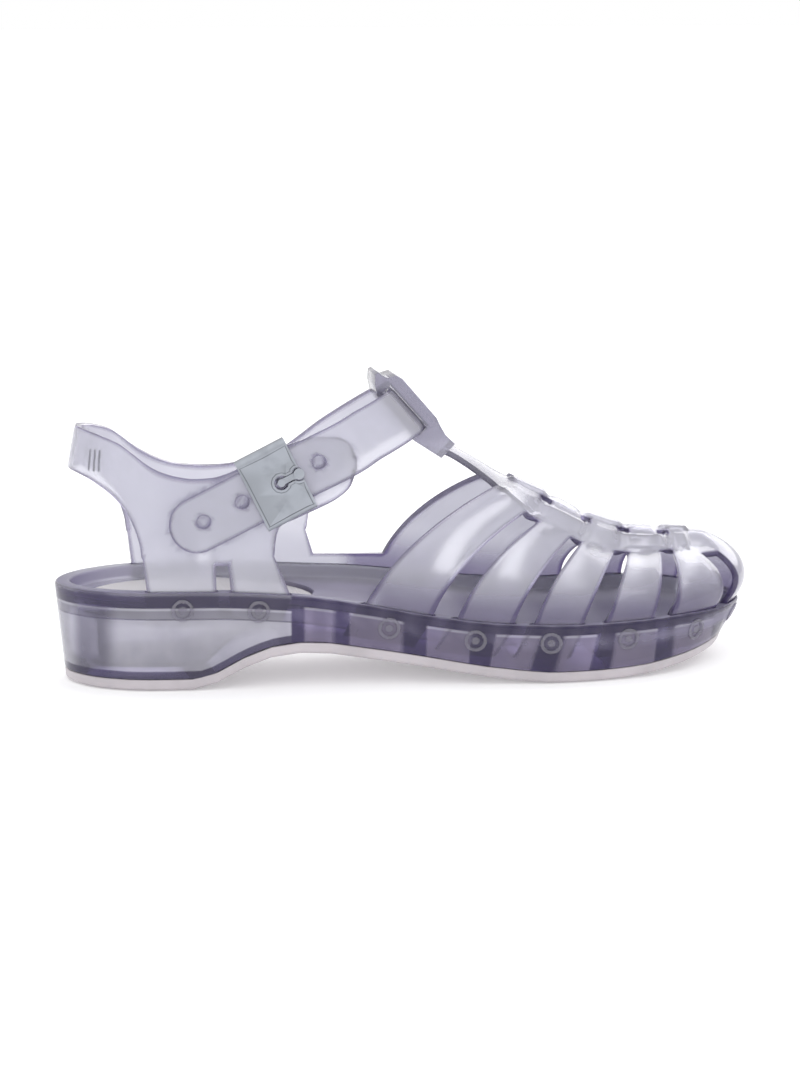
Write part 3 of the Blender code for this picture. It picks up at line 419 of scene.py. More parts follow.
def footbed_height(turn):
    return rim_height(turn) - FOOTBED_DROP


def tab_depth(turn):
    """How far a strap's foot reaches down into the sole, less where the toe rises."""
    floor = base_height(along_of(turn)) + OUTSOLE_THICKNESS + TAB_FLOOR
    return min(TAB_DEPTH, rim_height(turn) - floor)


def tab_turn(turn, lean):
    """Where a line of a strap ends under the rim, when its tab slants back by this share of its depth."""
    side = -1 if math.remainder(turn, 2 * math.pi) < 0 else 1
    if not lean:
        return turn
    return turn_of(along_of(turn) - lean * tab_depth(turn) / SOLE_LENGTH, side)


def foot_point(line, share, inset=RIM_EDGE, extra=0.0):
    """The upper's outer face on a line (turn at the rim, turn at the tab's foot), share 0 to 1 downwards."""
    turn = mix(line[0], line[1], share)
    return wall_point(turn, rim_height(turn) - tab_depth(turn) * share - extra, inset)


def crown_point(along, across):
    """The top of the foot: across runs from -1 at the weave's outer edge to 1 at its inner edge."""
    along -= read(CROWNS, "bow", along) * across * across
    centre = read(CROWNS, "centre", along) * BALL_WIDTH
    half = read(CROWNS, "half", along) * BALL_WIDTH
    drop = read(CROWNS, "drop", along) * INSTEP_HEIGHT
    fall = across * across / (0.35 + 0.65 * abs(across))
    height = read(CROWNS, "height", along) * INSTEP_HEIGHT - drop * fall
    return Vector((length_at(along), centre + across * half, height))


def arch_point(turn, top, rise, bulge=0.0):
    """A point on the arch from the rim up to a point of the crown."""
    foot = foot_point((turn, turn), 0.0)
    into, ahead = inward(turn), heading(turn)
    reach = (top - foot).xy
    angle = ARCH_SWEEP * rise
    over = (1 - math.cos(angle)) / (1 - math.cos(ARCH_SWEEP))
    up = math.sin(angle) / math.sin(ARCH_SWEEP)
    plan = foot.xy + into * (reach.dot(into) * over - bulge * math.sin(math.pi * rise))
    plan += ahead * reach.dot(ahead) * mix(over, up, ARCH_ADVANCE)
    return Vector((plan.x, plan.y, mix(foot.z, top.z, up)))


def strap_bulge(along):
    """How far the arch swells outside the straight way, most at the toe."""
    return TOE_BULGE * ease((along - 0.80) / 0.2)


def quarter_point(side, along, height):
    """The quarter's outer face, leaning in as it rises, more at the back of the heel."""
    turn = turn_of(along, side)
    rim = rim_height(turn)
    climb = clamp((height - rim) / (HEEL_STRAP_TOP - rim))
    lean = mix(SIDE_LEAN, BACK_LEAN, math.cos(turn) ** 2) * climb**1.7
    plan = outline(turn) + inward(turn) * (RIM_EDGE + lean)
    return Vector((plan.x, plan.y, height))


def ankle_station(share):
    """The ankle strap's middle, width direction and seat at a share of its way."""
    spot = clamp(share) * (len(ANKLE_STATIONS) - 1)
    along, height, across, tilt, seat = (read(ANKLE_ROWS, column, spot, "step") for column in Station._fields)
    middle = Vector((length_at(along), across * ANKLE_WIDTH, height * ANKLE_HEIGHT))
    lean = math.radians(tilt)
    return middle, Vector((-math.sin(lean), 0.0, math.cos(lean))), seat


def ankle_point(share, across, lift=0.0):
    """A point of the ankle strap's outer face, across from -1 at its lower edge to 1 at its upper edge."""
    middle, up, seat = ankle_station(share)
    point = middle + up * across * ANKLE_STRAP_WIDTH / 2
    side = 1 if seat > 0 else -1
    if seat:
        on_quarter = quarter_point(side, share_at(point.x), point.z).y
        on_quarter -= 0.0 if seat > 0 else WALL + STRAP_SEAT
        point.y = mix(point.y, on_quarter, abs(seat))
    return point + Vector((0.0, -lift, 0.0))


def run_point(distance, offset):
    """The strap's outer face on its straight run, forward from its last station and across it."""
    last = ANKLE_STATIONS[-1]
    lean = math.radians(last.tilt)
    x = length_at(last.along) + distance * math.cos(lean) - offset * math.sin(lean)
    z = last.height * ANKLE_HEIGHT + distance * math.sin(lean) + offset * math.cos(lean)
    y = quarter_point(-1, share_at(x), z).y - WALL - STRAP_SEAT
    return Vector((x, y, z))


def pad_ring(margin, lift):
    """An oval of the heel pad's outline, larger by the margin, at a height over the footbed."""
    middle = length_at(0) + PAD_BACK_MARGIN + PAD_LENGTH / 2
    ring = []
    for i in range(PAD_SIDES):
        angle = 2 * math.pi * i / PAD_SIDES
        x = middle + (PAD_LENGTH / 2 + margin) * math.cos(angle)
        y = (PAD_WIDTH / 2 + margin) * math.sin(angle)
        ring.append(Vector((x, y, footbed_height(turn_of(share_at(x), -1)) + lift)))
    return ring


def widened(turns):
    """The same turns with both ends moved out by the socket's clearance."""
    ahead = math.copysign(1, turns[-1] - turns[0])

    def step(turn):
        nudge = 0.001
        pace = (outline(turn + nudge) - outline(turn - nudge)).length / (2 * nudge)
        return ahead * 2 * SOCKET_CLEARANCE / pace

    return [turns[0] - step(turns[0]), *turns[1:-1], turns[-1] + step(turns[-1])]


# How many cells the upper's patches have across and along
STRAP_ACROSS = 10
TAB_CELLS = 4
ARCH_CELLS = 25
EYE_FROM = 22
WEB_TOP = 3
FOOT_CELLS = 7
WEAVE_ACROSS = 40
GAP_ROWS = 6
BAR_ROWS = 36
CELLS_PER_COLUMN = 4
SIDE_CELLS = 14
ANKLE_FINE = 132
END_CELLS = 12

# How the cross straps arch from the rim to the weave, and where the weave's three strips lie across it
ARCH_SWEEP = math.radians(56)
ARCH_ADVANCE = 0.38
STRIPS = ((-1.0, -0.42), (-0.26, 0.26), (0.42, 1.0))

# The strap's holes, by number from its loose end, and the loop's rounding
HOLES = 4
BUCKLE_HOLE = 2
HOLE_POINTS = 24
HOLE_BAR_SIDES = 32
LOOP_ROUND = 0.0009

# The sole's outer edge, the fillets of its rim and its hollow heel, by its ends as shares of the length
SOLE_AROUND = 160
RIM_POINTS = 360
SOLE_EDGE = 0.0015
SOLE_FILLET = 0.0010
HOLLOW_REAR = 0.036
HOLLOW_FRONT = 0.296
HOLLOW_SECTIONS = 30
HOLLOW_SIDES = 28
HOLLOW_SQUARENESS = 0.40
HOLLOW_LEAST_HEIGHT = 0.0020

# How far under the rim a strap still counts as near it, and up to where the sole's lines stand upright
GAP_AT_RIM = 0.001
UPRIGHT_UP_TO = 0.36

# The ribs of the heel strap: places along the sole, ends as shares of the strap's top height
RIB_PLACES = (0.0310, 0.0390, 0.0475)
RIB_ENDS = (0.842, 0.925)
RIB_RADIUS = 0.00045


class Shader:
    """A material's node tree, built from expressions on its sockets."""

    def __init__(self, name):
        self.material = bpy.data.materials.new(name)
        self.material.use_nodes = True
        self.tree = self.material.node_tree
        self.tree.nodes.clear()

    def node(self, kind, settings=None, **inputs):
        made = self.tree.nodes.new(kind)
        for key, value in (settings or {}).items():
            if key == "stops":
                ramp = made.color_ramp
                for i, (place, colour) in enumerate(value):
                    stop = ramp.elements[i] if i < 2 else ramp.elements.new(place)
                    stop.position = place
                    stop.color = colour
            else:
                setattr(made, key, value)
        for key, value in inputs.items():
            by_number = key[0] == "i" and key[1:].isdigit()
            self.feed(made.inputs[int(key[1:]) if by_number else key], value)
        return made

    def feed(self, socket, value):
        if isinstance(value, Value):
            self.tree.links.new(value.socket, socket)
        else:
            socket.default_value = value

    def out(self, made, name=0):
        return Value(self, made.outputs[name])

    def mix_colour(self, factor, a, b, blend="MIX"):
        made = self.node("ShaderNodeMix", {"data_type": "RGBA", "blend_type": blend}, i0=factor, i6=a, i7=b)
        return self.out(made, 2)

    def noise(self, scale, detail=2.0, roughness=0.5, stretch=None):
        place = self.node("ShaderNodeTexCoord").outputs["Object"]
        if stretch:
            mapping = self.node("ShaderNodeMapping", None, Scale=stretch)
            self.tree.links.new(place, mapping.inputs["Vector"])
            place = mapping.outputs[0]
        made = self.node("ShaderNodeTexNoise", None, Scale=scale, Detail=detail, Roughness=roughness)
        self.tree.links.new(place, made.inputs["Vector"])
        return self.out(made, "Fac")

    def painted(self, name):
        """A value painted on the mesh's points."""
        return self.out(self.node("ShaderNodeAttribute", {"attribute_name": name}), "Fac")

    def ahead(self):
        """How far along the sandal a point lies, from its middle towards the toe."""
        place = self.node("ShaderNodeTexCoord").outputs["Object"]
        made = self.node("ShaderNodeSeparateXYZ")
        self.tree.links.new(place, made.inputs[0])
        return self.out(made)

    def ramp(self, factor, stops):
        """A colour or a value that changes along a factor, by its stops."""
        return self.out(self.node("ShaderNodeValToRGB", {"stops": stops}, Fac=factor))

    def bump(self, height, strength, distance):
        made = self.node("ShaderNodeBump", None, Height=height, Strength=strength, Distance=distance)
        return self.out(made)

    def finish(self, surface, volume=None):
        output = self.node("ShaderNodeOutputMaterial")
        self.tree.links.new(surface.outputs[0], output.inputs["Surface"])
        if volume:
            self.tree.links.new(volume.outputs[0], output.inputs["Volume"])
        return self.material


class Value:
    """A socket that can stand in an arithmetic expression."""

    def __init__(self, shader, socket):
        self.shader = shader
        self.socket = socket

    def maths(self, operation, *terms):
        made = self.shader.node("ShaderNodeMath", {"operation": operation})
        for socket, term in zip(made.inputs, terms):
            self.shader.feed(socket, term)
        return Value(self.shader, made.outputs[0])

    def __add__(self, other):
        return self.maths("ADD", self, other)

    def __radd__(self, other):
        return self.maths("ADD", other, self)

    def __sub__(self, other):
        return self.maths("SUBTRACT", self, other)

    def __rsub__(self, other):
        return self.maths("SUBTRACT", other, self)

    def __mul__(self, other):
        return self.maths("MULTIPLY", self, other)

    def __rmul__(self, other):
        return self.maths("MULTIPLY", other, self)

    def __pow__(self, other):
        return self.maths("POWER", self, other)

    def smooth(self, low, high):
        made = self.shader.node("ShaderNodeMapRange", {"interpolation_type": "SMOOTHSTEP"})
        for index, value in enumerate((self, low, high)):
            self.shader.feed(made.inputs[index], value)
        return Value(self.shader, made.outputs[0])


def rgba(colour):
    return (colour[0], colour[1], colour[2], 1.0)


# Clear plastic where it is thick and lets little light through
THICK_GREY = (0.32, 0.31, 0.38)
# How clear, how rough and how dense the straps, the sole and the studs are
STRAP_CLEARNESS = 0.68
STRAP_ROUGHNESS = 0.15
STRAP_DENSITY = 40.0
RIB_CLEARNESS = 0.80
RIB_ROUGHNESS = 0.13
STUD_CLEARNESS = 0.85
STUD_ROUGHNESS = 0.12
STUD_DENSITY = 30.0
SOLE_CLEARNESS = 0.58
SOLE_ROUGHNESS = 0.10
SOLE_DENSITY = 16.0
SOLE_COAT = 0.12
SOLE_SPECULAR = 0.30


def clear_plastic(name, face, edge, clearness, roughness, depth, ripple):
    """Clear soft plastic: milky where it is thin, deeper in colour at its cut edges or seen edge on, with
    painted shade where the cross straps near the rim.
    """
    shader = Shader(name)
    facing = shader.out(shader.node("ShaderNodeLayerWeight", None, Blend=0.35), "Facing")
    cloud = shader.noise(38.0, 3.0)
    edge_and_rim_shade = (facing ** 2.2) * 0.74 + cloud.smooth(0.35, 0.75) * 0.10 + shader.painted("edge") * 0.75
    # Painted shade: the cross straps grow darker towards the rim under them
    edge_and_rim_shade = edge_and_rim_shade + shader.painted("near_rim") * 0.75
    tint = shader.mix_colour(edge_and_rim_shade, rgba(face), rgba(edge))
    tint = shader.mix_colour(shader.painted("thick") * 0.85, tint, rgba(THICK_GREY))
    return moulded(shader, tint, clearness, roughness, depth, ripple)


# The hollows of the sole's side from the waist to the toe, as shares of its length, with pillars between them
Cell = namedtuple("Cell", "rear front")
CELLS = (
    Cell(0.334, 0.376),
    Cell(0.396, 0.470),
    Cell(0.500, 0.566),
    Cell(0.598, 0.662),
    Cell(0.694, 0.742),
    Cell(0.768, 0.832),
    Cell(0.858, 0.930),
)
# The heel's side from the rim down: depth in metres, and how light it is there, from 0 to 1; the narrow
# bright line near 6 mm down is a painted highlight
HEEL_BANDS = (
    (0.0000, 0.50),
    (0.0009, 0.35),
    (0.0016, 0.04),
    (0.0054, 0.04),
    (0.0058, 0.95),
    (0.0062, 0.95),
    (0.0067, 0.52),
    (0.0092, 0.56),
    (0.0096, 0.22),
    (0.0100, 0.92),
    (0.0130, 1.00),
    (0.0200, 0.86),
)
BAND_RANGE = 0.020
# Where the heel's window ends ahead and its dark corner lies, from the sole's middle
WINDOW_FRONT = (-0.0472, -0.0462)
CORNER_REAR = (-0.1225, -0.1185)
CORNER_FRONT = (-0.1125, -0.1060)
# Depths under the rim: where the forefoot's dark band ends, the painted highlight line below it and the
# straps' outlines
BAND_END = (0.0034, 0.0040)
HIGHLIGHT_LINE_END = (0.0044, 0.0050)
OUTLINES_END = (0.0115, 0.0125)
# How far the dark band reaches up from the outsole
LOW_BAND = (0.0030, 0.0037)
# Soft edges and the outlines' half width, as shares of the sole's length
CELL_BLUR = 0.0022
OUTLINE_BLUR = 0.0010
OUTLINE_HALF = 0.0016
OUTLINED_EDGES = 7


def grey(value):
    return (value, value, value, 1.0)


def bars(spans, blur):
    """A ramp's stops that are light inside each span and dark between them."""
    stops = [(0.0, grey(0.0))]
    for rear, front in spans:
        stops += [(rear, grey(0.0)), (rear + blur, grey(1.0)), (front - blur, grey(1.0)), (front, grey(0.0))]
    return stops


def strap_outlines(side):
    """Narrow spans along both edges of each strap's foot."""
    places = [place for strap in STRAPS for place in strap_edges(strap, side)]
    return [(place - OUTLINE_HALF, place + OUTLINE_HALF) for place in places[:OUTLINED_EDGES]]


def sole_plastic(tint):
    """The sole's clear plastic, with its hollow heel's bands and the hollows between its pillars ahead, a
    painted highlight line under the rim band, and painted light on the far side of the footbed.
    """
    shader = Shader("sole_plastic")
    facing = shader.out(shader.node("ShaderNodeLayerWeight", None, Blend=0.30), "Facing")
    below, above, footbed = (shader.painted(name) for name in ("below_rim", "above_base", "footbed"))
    slanted, inner = shader.painted("slanted"), shader.painted("inner_side")
    ahead = shader.ahead()
    cloud = shader.noise(55.0, 3.0).smooth(0.30, 0.72)
    heel = 1 - ahead.smooth(*WINDOW_FRONT)
    stops = [(depth / BAND_RANGE, grey(light)) for depth, light in HEEL_BANDS]
    window = shader.ramp(below * (1 / BAND_RANGE), stops)
    low = 1 - above.smooth(*LOW_BAND)
    corner = (1 - ahead.smooth(*CORNER_FRONT)) * ahead.smooth(*CORNER_REAR)
    shade = (1 - low * 0.90) * (1 - corner * 0.62)
    heel_side = shader.mix_colour(window * shade, rgba(tint.sole_band), rgba(tint.sole_heel))
    in_cell = shader.ramp(shader.painted("cell_along"), bars(CELLS, CELL_BLUR))
    deep = below.smooth(*BAND_END)
    highlight_line = deep * (1 - below.smooth(*HIGHLIGHT_LINE_END))
    fore = shader.mix_colour(in_cell * deep, rgba(tint.sole_pillar), rgba(tint.sole_face))
    # Painted highlight: a pale line along the top edge of each hollow, just under the dark band
    fore = shader.mix_colour(in_cell * highlight_line * 0.6, fore, rgba(tint.sole_heel))
    outer_lines = shader.ramp(slanted, bars(strap_outlines(-1), OUTLINE_BLUR))
    inner_lines = shader.ramp(slanted, bars(strap_outlines(1), OUTLINE_BLUR))
    lines = shader.mix_colour(inner, outer_lines, inner_lines)
    lines = Value(shader, lines.socket) * (1 - below.smooth(*OUTLINES_END)) * deep
    fore = shader.mix_colour(lines * 0.42, fore, rgba(tint.sole_band))
    fore = shader.mix_colour(1 - deep, fore, rgba(tint.sole_band))
    side = shader.mix_colour(heel, fore, heel_side)
    side = shader.mix_colour(cloud * 0.22, side, rgba(tint.sole_pillar))
    # Painted light: the footbed lightens to the heel's pale colour towards its far, inner side
    bed = shader.mix_colour(shader.painted("far_bed"), rgba(tint.footbed), rgba(tint.sole_heel))
    bed = shader.mix_colour(footbed, side, bed)
    colour = shader.mix_colour((facing ** 3.0) * 0.45, bed, rgba(tint.sole_edge))
    dull = footbed * 0.40 + SOLE_ROUGHNESS
    coat = SOLE_COAT - footbed * SOLE_COAT
    depth = (tint.depth, SOLE_DENSITY)
    return moulded(shader, colour, SOLE_CLEARNESS, dull, depth, 0.20, coat, SOLE_SPECULAR)


def moulded(shader, tint, clearness, roughness, depth, ripple, coat=0.25, specular=0.5):
    """Finishes a clear plastic: its gloss, its faint ripples and the colour that its depth takes out."""
    gloss = shader.noise(260.0, 2.0) * 0.06 + roughness
    ripples = shader.bump(shader.noise(95.0, 2.0), ripple, 0.0006)
    surface = shader.node("ShaderNodeBsdfPrincipled", None, Roughness=gloss, IOR=1.46, Normal=ripples)
    shader.feed(surface.inputs["Base Color"], tint)
    surface.inputs["Transmission Weight"].default_value = clearness
    surface.inputs["Specular IOR Level"].default_value = specular
    shader.feed(surface.inputs["Coat Weight"], coat)
    surface.inputs["Coat Roughness"].default_value = 0.08
    colour, density = depth
    volume = shader.node("ShaderNodeVolumeAbsorption", None, Color=rgba(colour), Density=density)
    return shader.finish(surface, volume)


def outsole_plastic(colour, shade):
    shader = Shader("outsole_plastic")
    tint = shader.mix_colour(shader.noise(60.0, 3.0).smooth(0.3, 0.7), rgba(colour), rgba(shade))
    grain = shader.bump(shader.noise(900.0, 2.0), 0.25, 0.0002)
    dull = shader.noise(120.0) * 0.1 + 0.34
    surface = shader.node("ShaderNodeBsdfPrincipled", None, Roughness=dull, Normal=grain)
    shader.feed(surface.inputs["Base Color"], tint)
    surface.inputs["Coat Weight"].default_value = 0.15
    surface.inputs["Coat Roughness"].default_value = 0.12
    return shader.finish(surface)


def pad_fabric(colour, shade):
    """The heel pad's foam cover with its small pressed dots."""
    shader = Shader("pad_cover")
    place = shader.node("ShaderNodeTexCoord").outputs["Object"]
    dots = shader.node("ShaderNodeTexVoronoi", {"feature": "F1"}, Scale=720.0, Randomness=0.0)
    shader.tree.links.new(place, dots.inputs["Vector"])
    dimple = shader.out(dots, "Distance").smooth(0.15, 0.45)
    tint = shader.mix_colour(dimple * 0.35 + shader.noise(45.0, 4.0) * 0.5, rgba(colour), rgba(shade))
    relief = shader.bump(dimple, 0.5, 0.0002)
    surface = shader.node("ShaderNodeBsdfPrincipled", None, Roughness=0.78, Normal=relief)
    shader.feed(surface.inputs["Base Color"], tint)
    surface.inputs["Sheen Weight"].default_value = 0.15
    return shader.finish(surface)


def satin_metal(name, colour, roughness):
    """Pressed metal with a fine brushed finish, small dulled patches and painted shade on the faces marked
    for it.
    """
    shader = Shader(name)
    brush = shader.noise(700.0, 2.0, 0.6, (0.12, 1.0, 1.0))
    dull = shader.noise(160.0, 4.0).smooth(0.45, 0.75)
    tint = shader.mix_colour(dull * 0.5, rgba(colour), rgba([channel * 0.78 for channel in colour]))
    # Painted shade: marked faces darken towards a quarter of the metal's colour
    dark = rgba([channel * 0.25 for channel in colour])
    tint = shader.mix_colour(shader.painted("groove") * 0.75, tint, dark)
    surface = shader.node(
        "ShaderNodeBsdfPrincipled",
        None,
        Metallic=1.0,
        Roughness=brush * 0.14 + dull * 0.12 + roughness,
        Normal=shader.bump(brush, 0.12, 0.0001),
    )
    shader.feed(surface.inputs["Base Color"], tint)
    return shader.finish(surface)


# Making and seating pieces


def add_piece(name, bm, material, replaced=(), angle=38.0):
    mesh = bpy.data.meshes.new(name)
    bm.to_mesh(mesh)
    bm.free()
    piece = bpy.data.objects.new(name, mesh)
    bpy.context.scene.collection.objects.link(piece)
    mesh.materials.append(material)
    for face in mesh.polygons:
        face.use_smooth = True
    mesh.set_sharp_from_angle(angle=math.radians(angle))
    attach(piece, "root")
    if replaced:
        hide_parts(*replaced)
    return piece


def helper(name, bm):
    """A mesh that a Boolean reads and that is not shown."""
    mesh = bpy.data.meshes.new(name)
    bm.to_mesh(mesh)
    bm.free()
    obj = bpy.data.objects.new(name, mesh)
    bpy.context.scene.collection.objects.link(obj)
    return obj


def combine(piece, other, operation="DIFFERENCE"):
    """Cuts another mesh out of a piece, or joins it on."""
    modifier = piece.modifiers.new(other.name, "BOOLEAN")
    modifier.operation, modifier.solver, modifier.object = operation, "EXACT", other


def apply_modifiers(obj):
    """Keeps the object's evaluated mesh, and drops its modifiers and the meshes that they read."""
    mesh = bpy.data.meshes.new_from_object(obj.evaluated_get(bpy.context.evaluated_depsgraph_get()))
    helpers = [modifier.object for modifier in obj.modifiers if modifier.type == "BOOLEAN"]
    obj.modifiers.clear()
    obj.data = mesh
    for other in helpers:
        bpy.data.objects.remove(other)


def loft(bm, sections, closed_ends=True):
    """Bridges rings of points, each ring started as a circle."""
    rings = []
    for section in sections:
        made = bmesh.ops.create_circle(bm, segments=len(section), radius=1.0)
        for vert, point in zip(made["verts"], section):
            vert.co = point
        rings.append(made["verts"])
    for low, high in zip(rings, rings[1:]):
        edges = {}
        for ring in (low, high):
            for vert in ring:
                edges.update((edge, None) for edge in vert.link_edges if edge.other_vert(vert) in ring)
        bmesh.ops.bridge_loops(bm, edges=list(edges))
    if closed_ends:
        for ring in (rings[0], rings[-1]):
            bmesh.ops.contextual_create(bm, geom=ring)
    bmesh.ops.recalc_face_normals(bm, faces=bm.faces)
    return bm


def point_tree(points):
    tree = kdtree.KDTree(len(points))
    for i, point in enumerate(points):
        tree.insert(point, i)
    tree.balance()
    return tree


def paint_points(mesh, name, value_at):
    """Gives each point of a mesh a value that its material reads."""
    layer = mesh.attributes.new(name, "FLOAT", "POINT")
    layer.data.foreach_set("value", [value_at(vert.co) for vert in mesh.vertices])


# The upper's sheet


class Sheet:
    """The upper's outer face, from grids laid over the last and welded at their shared edges."""

    def __init__(self):
        self.bm = bmesh.new()
        self.lift = self.bm.verts.layers.float.new("lift")

    def patch(self, across, along, place, drop=None):
        """A grid laid by place(u, v), a point and its lift; drop(u, v) takes out faces by their middle."""
        made = bmesh.ops.create_grid(self.bm, x_segments=across, y_segments=along, size=0.5)
        faces = list(dict.fromkeys(face for vert in made["verts"] for face in vert.link_faces))
        if drop:
            gone = [face for face in faces if drop(*(face.calc_center_median().xy + Vector((0.5, 0.5))))]
            bmesh.ops.delete(self.bm, geom=gone, context="FACES")
        for vert in made["verts"]:
            if not vert.is_valid:
                continue
            u, v = vert.co.x + 0.5, vert.co.y + 0.5
            point, lift = place(u, v)
            vert.co = point
            vert[self.lift] = lift

    def finish(self):
        bm = self.bm
        loose = [vert for vert in bm.verts if not vert.link_faces]
        bmesh.ops.delete(bm, geom=loose, context="VERTS")
        bmesh.ops.remove_doubles(bm, verts=bm.verts, dist=3e-5)
        bmesh.ops.recalc_face_normals(bm, faces=bm.faces)
        top = max(bm.faces, key=lambda face: face.calc_center_median().z * (abs(face.normal.z) > 0.3))
        if top.normal.z < 0:
            bmesh.ops.reverse_faces(bm, faces=bm.faces)
        bm.normal_update()
        for vert, normal in [(vert, vert.normal.copy()) for vert in bm.verts]:
            vert.co += normal * vert[self.lift]
        bm.normal_update()
        return bm


def split(v, *cells):
    """Which of the bands of cells a share falls in, and the share within it."""
    spot = v * sum(cells)
    for number, count in enumerate(cells):
        if spot <= count + 1e-6 or number == len(cells) - 1:
            return number, clamp(spot / count)
        spot -= count


def plateau(share, edge):
    """1 in the middle and 0 at both ends, over an edge's share."""
    return ease(min(share, 1 - share) / edge)


def strap_edges(strap, side):
    return (strap.outer_rear, strap.outer_front) if side < 0 else (strap.inner_rear, strap.inner_front)


def strap_place(strap, side):
    rear, front = strap_edges(strap, side)

    def place(u, v):
        foot_along = mix(rear, front, u)
        turn = turn_of(foot_along, side)
        band, share = split(v, TAB_CELLS, ARCH_CELLS)
        if band == 0:
            return foot_point((turn, tab_turn(turn, strap.lean)), 1 - share), 0.0
        top = crown_point(mix(strap.top_rear, strap.top_front, u), side)
        swell = plateau(u, 0.22) * plateau(share, 0.3) * settings().strap_pillow
        return arch_point(turn, top, share, strap_bulge(foot_along)), swell

    return place


def weave_over(strip, strap):
    """Whether a strip of the weave lies over a cross strap."""
    return (strip + strap) % 2 == 1


def strip_of(across):
    for number, (low, high) in enumerate(STRIPS):
        if low - 1e-6 <= across <= high + 1e-6:
            return number, (across - low) / (high - low)
    return None, 0.0


def weave_place(number, strap):
    def place(u, v):
        across = 2 * u - 1
        strip, share = strip_of(across)
        lift = 0.55 * plateau(v, 0.22)
        if strip is not None and weave_over(strip, number):
            lift = max(lift * (1 - plateau(share, 0.12)), plateau(share, 0.16))
        elif strip is None:
            lift *= 0.8
        return crown_point(mix(strap.top_rear, strap.top_front, v), across), lift * settings().weave_raise

    return place


def gap_place(number, strap, following):
    def place(u, v):
        across = 2 * u - 1
        strip, share = strip_of(across)
        lift = 0.0
        if strip is not None:
            before = 1.0 if weave_over(strip, number) else -0.25
            after = 1.0 if weave_over(strip, number + 1) else -0.25
            lift = mix(before, after, ease(v)) * plateau(share, 0.16)
        return crown_point(mix(strap.top_front, following.top_rear, v), across), lift * settings().weave_raise

    return place


def in_weave_hole(u, v):
    across = 2 * u - 1
    return strip_of(across)[0] is None


def cap_turn(u):
    first = turn_of(TOE_CAP.outer_rear, -1)
    last = turn_of(TOE_CAP.inner_rear, 1) - 2 * math.pi
    return mix(first, last, u)


def cap_place(u, v):
    turn = cap_turn(u)
    band, share = split(v, TAB_CELLS, ARCH_CELLS)
    if band == 0:
        return foot_point((turn, turn), 1 - share), 0.0
    return arch_point(turn, crown_point(TOE_CAP.top_rear, 2 * u - 1), share, TOE_BULGE), 0.0


OUTER_QUARTER = numbered(SLING + OUTER_YOKE)
INNER_QUARTER = numbered(SLING + INNER_YOKE)


def quarter_low(rows, spot):
    return read(rows, "low_along", spot, "step"), read(rows, "low_height", spot, "step") * HEEL_STRAP_TOP


def quarter_place(side, rows, first, last):
    def place(u, v):
        spot = mix(first, last, u)
        low_along, low_height = quarter_low(rows, spot)
        along = mix(low_along, read(rows, "top_along", spot, "step"), v)
        height = mix(low_height, read(rows, "top_height", spot, "step") * HEEL_STRAP_TOP, v)
        swell = plateau(v, 0.12) * 0.5 * settings().strap_pillow
        return quarter_point(side, along, height), swell if 0 < v < 1 else 0.0

    return place


def foot_line(side, foot, u):
    rim = turn_of(mix(foot.rim_rear, foot.rim_front, u), side)
    return rim, turn_of(mix(foot.tab_rear, foot.tab_front, u), side)


def foot_place(side, foot, rows):
    def place(u, v):
        line = foot_line(side, foot, u)
        band, share = split(v, TAB_CELLS, WEB_TOP, FOOT_CELLS)
        if band == 0:
            return foot_point(line, 1 - share), 0.0
        low_along, low_height = quarter_low(rows, len(SLING) + mix(foot.first, foot.last, u))
        rim = rim_height(line[0])
        web_share = clamp((WEB_HEIGHT - rim) / (low_height - rim), 0.2, 0.7)
        up = web_share * share if band == 1 else mix(web_share, 1.0, share)
        return quarter_point(side, mix(along_of(line[0]), low_along, up), mix(rim, low_height, up)), 0.0

    return place


def web_place(u, v):
    rear = foot_place(1, INNER_FEET[-1], INNER_QUARTER)
    front = strap_place(STRAPS[0], 1)
    foot_total = TAB_CELLS + WEB_TOP + FOOT_CELLS
    strap_total = TAB_CELLS + ARCH_CELLS
    spot = v * (TAB_CELLS + WEB_TOP)
    back, _ = rear(1.0, spot / foot_total)
    ahead, _ = front(0.0, spot / strap_total)
    if u < 1e-6:
        return back, 0.0
    if u > 1 - 1e-6:
        return ahead, 0.0
    rear_line, front_turn = foot_line(1, INNER_FEET[-1], 1.0), turn_of(STRAPS[0].inner_rear, 1)
    front_line = (front_turn, tab_turn(front_turn, STRAPS[0].lean))
    line = (mix(rear_line[0], front_line[0], u), mix(rear_line[1], front_line[1], u))
    if spot <= TAB_CELLS:
        return foot_point(line, 1 - spot / TAB_CELLS), 0.0
    rim = foot_point(line, 0.0)
    rise = (spot - TAB_CELLS) / WEB_TOP
    top = TAB_CELLS + WEB_TOP
    top_z = mix(rear(1.0, top / foot_total)[0].z, front(0.0, top / strap_total)[0].z, u)
    return Vector((rim.x, rim.y, mix(rim.z, top_z, rise))), 0.0


def ankle_place(u, v):
    swell = plateau(v, 0.15) * 0.6 * settings().strap_pillow
    return ankle_point(u, 2 * v - 1), swell if 0 < v < 1 and u > 0 else 0.0


def end_place(u, v):
    radius = ANKLE_STRAP_WIDTH / 2
    angle = math.pi / 2 * u * 0.97
    swell = plateau(v, 0.15) * (1 - u) * 0.6 * settings().strap_pillow
    return run_point(-radius * math.sin(angle), radius * math.cos(angle) * (2 * v - 1)), swell


def join_place(u, v):
    inner = quarter_place(1, INNER_QUARTER, len(INNER_QUARTER) - 1, len(INNER_QUARTER) - 1)
    return inner(0.0, v)[0].lerp(ankle_point(0.0, 2 * v - 1), u), 0.0


